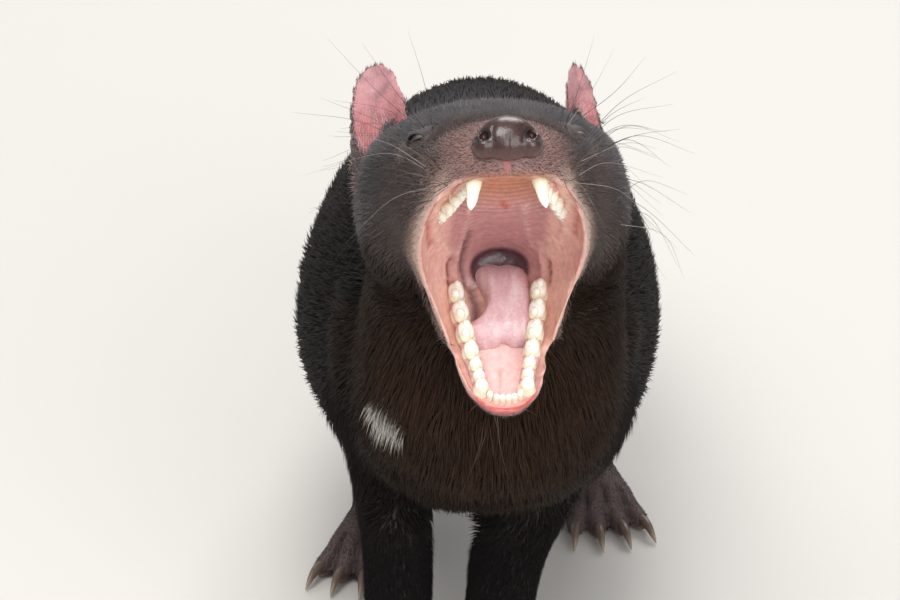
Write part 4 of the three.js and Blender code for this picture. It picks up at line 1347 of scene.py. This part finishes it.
def whisker_lines():
    lines = []
    for count, root_a, root_b, tip_a, tip_b, droop, thick in WHISKER_ROWS:
        for hand in (1, -1):
            for i in range(count):
                share = i / max(count - 1, 1)
                root = np.array(root_a) * (1 - share) + np.array(root_b) * share + rng.normal(0, 0.9, 3)
                tip = np.array(tip_a) * (1 - share) + np.array(tip_b) * share + rng.normal(0, 5, 3)
                tip = root + (tip - root) * rng.uniform(0.72, 1.0)
                bend = (root + tip) / 2 + [0, -6, droop] + rng.normal(0, 2.5, 3)
                lines.append((*placed(np.array([root, bend, tip]) * [hand, 1, 1], HEAD), thick))
    return lines


def rooted(start):
    """The place where a whisker leaves the skin, slightly sunk in."""
    nearest = np.argmin(lengths(skin_verts - start))
    return skin_verts[nearest] - 0.6 * MM * skin_normals[nearest]


def whiskers():
    parts, colours = [], []
    kinds = [WHISKER_BLACK] * 4 + [WHISKER_BROWN, WHISKER_BLACK, WHISKER_PALE]
    strands = []
    for i, (start, *rest) in enumerate(whisker_lines()):
        strands.append((rooted(start), *rest, kinds[i % len(kinds)]))
    for pixels in CHIN_HAIRS:
        root = on_skin(pixels[0])
        ahead = -view_way * 12 * MM
        spots = [root]
        for k, pixel in enumerate(pixels[1:], 1):
            spots.append(on_skin(pixel) + ahead * (0.7 + 0.5 * k))
        strands.append((*spots, 0.16, WHISKER_BROWN))
    for root, middle, end, thick, colour in strands:
        line = through([root, middle, end], 18)
        share = np.linspace(0, 1, 18)
        verts, faces = tube(line, thick * MM * (1 - 0.85 * share), sides=5)
        parts.append((verts, faces))
        colours.append(np.broadcast_to(colour, verts.shape))
    verts, faces = join_meshes(parts)
    return verts, faces, np.vstack(colours)


add_piece("whiskers", whiskers(), Matrix.Identity(4), hair_look(), "face")

# The coat's tufts

LENGTH_PER_DEPTH = 2.5
LENGTH_LEAST = 1.7 * MM
TIP_LIFT = 0.26
LONG_TUFTS = 90000
SHORT_TUFTS = 125000
PIECE_TRIANGLES = 190000
HALF_PATCH = 0.0015  # of a tuft on the coat's map
ROOT_SUNK = 0.5 * MM
OFF_FLOOR = 0.2 * MM
STUBBLE_SHARE = 0.4

# A tuft's outline at its root, as (across, above) in its own width
ROOT_RING = np.array([(-0.5, -0.25), (0.5, -0.25), (0.0, 0.55)])


def unwrapped_skin():
    """A coarse copy of the skin, unwrapped, which gives each tuft its place on the coat's map."""
    verts, quads = remeshed(skin_verts, skin_tris, 7 * MM)
    made = mesh_object("unwrap", verts, quads)
    bpy.context.view_layer.objects.active = made
    made.select_set(True)
    bpy.ops.object.mode_set(mode="EDIT")
    bpy.ops.mesh.select_all(action="SELECT")
    bpy.ops.uv.smart_project(angle_limit=math.radians(66), island_margin=0.004)
    bpy.ops.object.mode_set(mode="OBJECT")
    uv = np.empty(len(made.data.loops) * 2, np.float32)
    made.data.uv_layers.active.data.foreach_get("uv", uv)
    bpy.data.objects.remove(made)
    return verts, quads, uv.reshape(-1, 4, 2).astype(float), search_tree(verts, quads)


def places_on_map(roots, unwrapped):
    verts, quads, uv, tree = unwrapped
    found = [tree.find_nearest(Vector(root)) for root in roots]
    spots = np.array([tuple(f[0]) for f in found])
    faces = np.array([f[2] for f in found])
    weight = 1 / (((verts[quads[faces]] - spots[:, None]) ** 2).sum(2) + 1e-9)
    return (uv[faces] * weight[..., None]).sum(1) / weight.sum(1)[:, None]


def scattered(density, count):
    """Roots spread over the skin by a density for each of its points, with their normals.

    Each root also gets the corners of its triangle and their weights.
    """
    a, b, c = (skin_verts[skin_tris[:, k]] for k in range(3))
    area = lengths(np.cross(b - a, c - a))
    share = np.cumsum(area * density[skin_tris].mean(1))
    pick = np.searchsorted(share / share[-1], (np.arange(count) + rng.random(count)) / count)
    corners = skin_tris[np.minimum(pick, len(share) - 1)]
    u, v = np.sqrt(rng.random(count)), rng.random(count)
    weight = np.stack([1 - u, u * (1 - v), u * v], 1)
    roots = (skin_verts[corners] * weight[..., None]).sum(1)
    return roots, unit((skin_normals[corners] * weight[..., None]).sum(1)), corners, weight


def hair_room():
    """How densely hair may grow at each point of the skin, from 0 to 1."""
    corner_of_mouth = np.abs(x) > 26
    lips_bare = np.where(corner_of_mouth, fade(2.5, 8, from_lips), fade(1.8, 3.2, from_lips))
    room = (1 - np.maximum(lining, lips_bare * 0.97)) * (1 - sole)
    room *= 1 - 0.7 * smoothstep(0.1, 0.5, ear_inside)
    room *= smoothstep(8.6, 10.5, from_eyes)
    room *= smoothstep(1.6 * MM, 3 * MM, distance_to(skin_verts, claw_points, 4 * MM))
    return room * (0.35 + 0.65 * smoothstep(0.5, 1.5, depth / MM))


def tuft_points(roots, normals, lie, deep, wide, bent):
    """Points of thin spikes, straight or with one bend, that follow the coat's lie."""
    way = lie + 0.3 * noise_ways(roots, 12 * MM, 1) + 0.14 * noise_ways(roots, 3 * MM, 2)
    way += 0.06 * rng.normal(size=way.shape)
    way = unit(way - (way * normals).sum(1, keepdims=True) * normals)
    length = ((LENGTH_LEAST + LENGTH_PER_DEPTH * deep) * rng.uniform(0.72, 1.12, len(roots)))[:, None]
    lift = (TIP_LIFT * rng.uniform(0.5, 1.3, len(roots)))[:, None]
    side = np.cross(normals, way)
    tip = roots + length * (way * np.sqrt(1 - lift**2) + normals * lift)
    knee = roots + length * (0.46 * way + 0.72 * lift * normals)
    base = roots - normals * ROOT_SUNK
    above = normals * 0.7 - way * 0.3
    rings = [(base, 1.0)] + [(knee, 0.66)] * bent
    points = [
        middle + size * wide[:, None] * (a * side + 0.6 * b * above)
        for middle, size in rings
        for a, b in ROOT_RING
    ]
    made = np.stack([*points, tip], 1)
    made[..., 2] = np.maximum(made[..., 2], OFF_FLOOR)
    return made


def tuft_faces(bent):
    faces = [(0, 2, 1)]
    top = 3 if bent else 0
    for k in range(3):
        j = (k + 1) % 3
        if bent:
            faces += [(k, j, 3 + k), (j, 3 + j, 3 + k)]
        faces.append((top + k, top + j, 3 + top))
    return np.array(faces)


def grow(name, density, width, count, bent, material, unwrapped):
    roots, normals, corners, weight = scattered(density, count)
    lie, deep, colour = coat_colour(roots)
    wide = (width[corners] * weight).sum(1)
    points = tuft_points(roots, normals, lie, deep, wide, bent)
    pale = (margin[corners] * weight).sum(1)
    inner = (ear_inside[corners] * weight).sum(1)
    rim = (ear_rim[corners] * weight).sum(1)
    colour = blend(blend(blend(colour, MARGIN, pale * 0.8), EAR_HAIR, inner * 0.9), EAR_RIM, rim)
    stubble = (rng.random(count) < STUBBLE_SHARE) * fade(0.8 * MM, 1.6 * MM, deep) * (1 - inner) * (1 - pale)
    colour = colour * (rng.uniform(0.78, 1.25, count) * (1 - 0.7 * stubble))[:, None]
    # Painted shade at each tuft's root and painted highlight at its tip
    root_shade_tip_light = np.array([0.65] * 3 + [0.95] * 3 * bent + [1.2])
    spots = places_on_map(roots, unwrapped)
    faces = tuft_faces(bent)
    size = len(root_shade_tip_light)
    patch = np.array([(-1, -1), (1, -1), (0, 1)] + [(-0.7, -0.3), (0.7, -0.3), (0, 0.7)] * bent + [(0, 0)])
    order = np.argsort(roots[:, 1], kind="stable")
    pieces = math.ceil(count * len(faces) / PIECE_TRIANGLES)
    for number, chosen in enumerate(np.array_split(order, pieces), 1):
        all_faces = (faces + size * np.arange(len(chosen))[:, None, None]).reshape(-1, 3)
        made = mesh_object(f"{name}_{number}", points[chosen].reshape(-1, 3), all_faces)
        paint(made, np.repeat(colour[chosen], size, axis=0) * np.tile(root_shade_tip_light, len(chosen))[:, None])
        uv = spots[chosen][:, None] + HALF_PATCH * patch[faces.ravel()]
        made.data.uv_layers.new(name="OFBake").data.foreach_set("uv", uv.astype(np.float32).ravel())
        dress(made, material, "coat")


def coat():
    room = hair_room()
    deep = depth / MM
    front = fade(20 * MM, 160 * MM, skin_verts[:, 1] + 0.2)
    long_share = smoothstep(2.1, 3.2, deep)
    material = coat_look()
    unwrapped = unwrapped_skin()
    long_width = (0.56 + 0.05 * np.clip(deep, 2, 6)) * MM * (1.1 - 0.22 * front)
    grow("coat", room * long_share / long_width**2, long_width, LONG_TUFTS, True, material, unwrapped)
    short_width = (0.3 + 0.14 * np.clip(deep, 0, 3)) * MM
    short_room = room * (1 - long_share) / short_width**2
    grow("short_coat", short_room, short_width, SHORT_TUFTS, False, material, unwrapped)


coat()

# Floor and light

FLOOR_HALF = 6
FLOOR_COLOUR = (0.62, 0.6, 0.57, 1)
SKY_COLOUR = (0.98, 0.98, 1, 1)
SKY_STRENGTH = 0.45
LIGHTS = [  # name, place in m, width in m, watts, colour
    ("key", (-0.5, -1.3, 2.7), 1.5, 62, (1, 0.98, 0.95)),
    ("fill", (0.9, -2.4, 1.3), 1.8, 38, (1, 0.99, 0.98)),
    ("back", (0.3, 1.8, 2.2), 1.5, 44, (1, 1, 1)),
]


def floor():
    corners = [(-1, -1, 0), (1, -1, 0), (1, 1, 0), (-1, 1, 0)]
    made = mesh_object("floor", np.array(corners) * FLOOR_HALF, [(0, 1, 2, 3)])
    material = bpy.data.materials.new("floor")
    material.use_nodes = True
    shader = material.node_tree.nodes["Principled BSDF"]
    shader.inputs["Base Color"].default_value = FLOOR_COLOUR
    shader.inputs["Roughness"].default_value = 0.9
    made.data.materials.append(material)


def light():
    for name, place, wide, watts, colour in LIGHTS:
        data = bpy.data.lights.new(name, "AREA")
        data.size = wide
        data.energy = watts
        data.color = colour
        lamp = bpy.data.objects.new(name, data)
        lamp.location = place
        lamp.rotation_euler = Vector(place).to_track_quat("Z", "Y").to_euler()
        bpy.context.scene.collection.objects.link(lamp)
    world = bpy.data.worlds.new("studio")
    world.use_nodes = True
    background = world.node_tree.nodes["Background"]
    background.inputs["Color"].default_value = SKY_COLOUR
    background.inputs["Strength"].default_value = SKY_STRENGTH
    bpy.context.scene.world = world


floor()
light()
make_camera()
bpy.context.scene.view_settings.view_transform = "Standard"
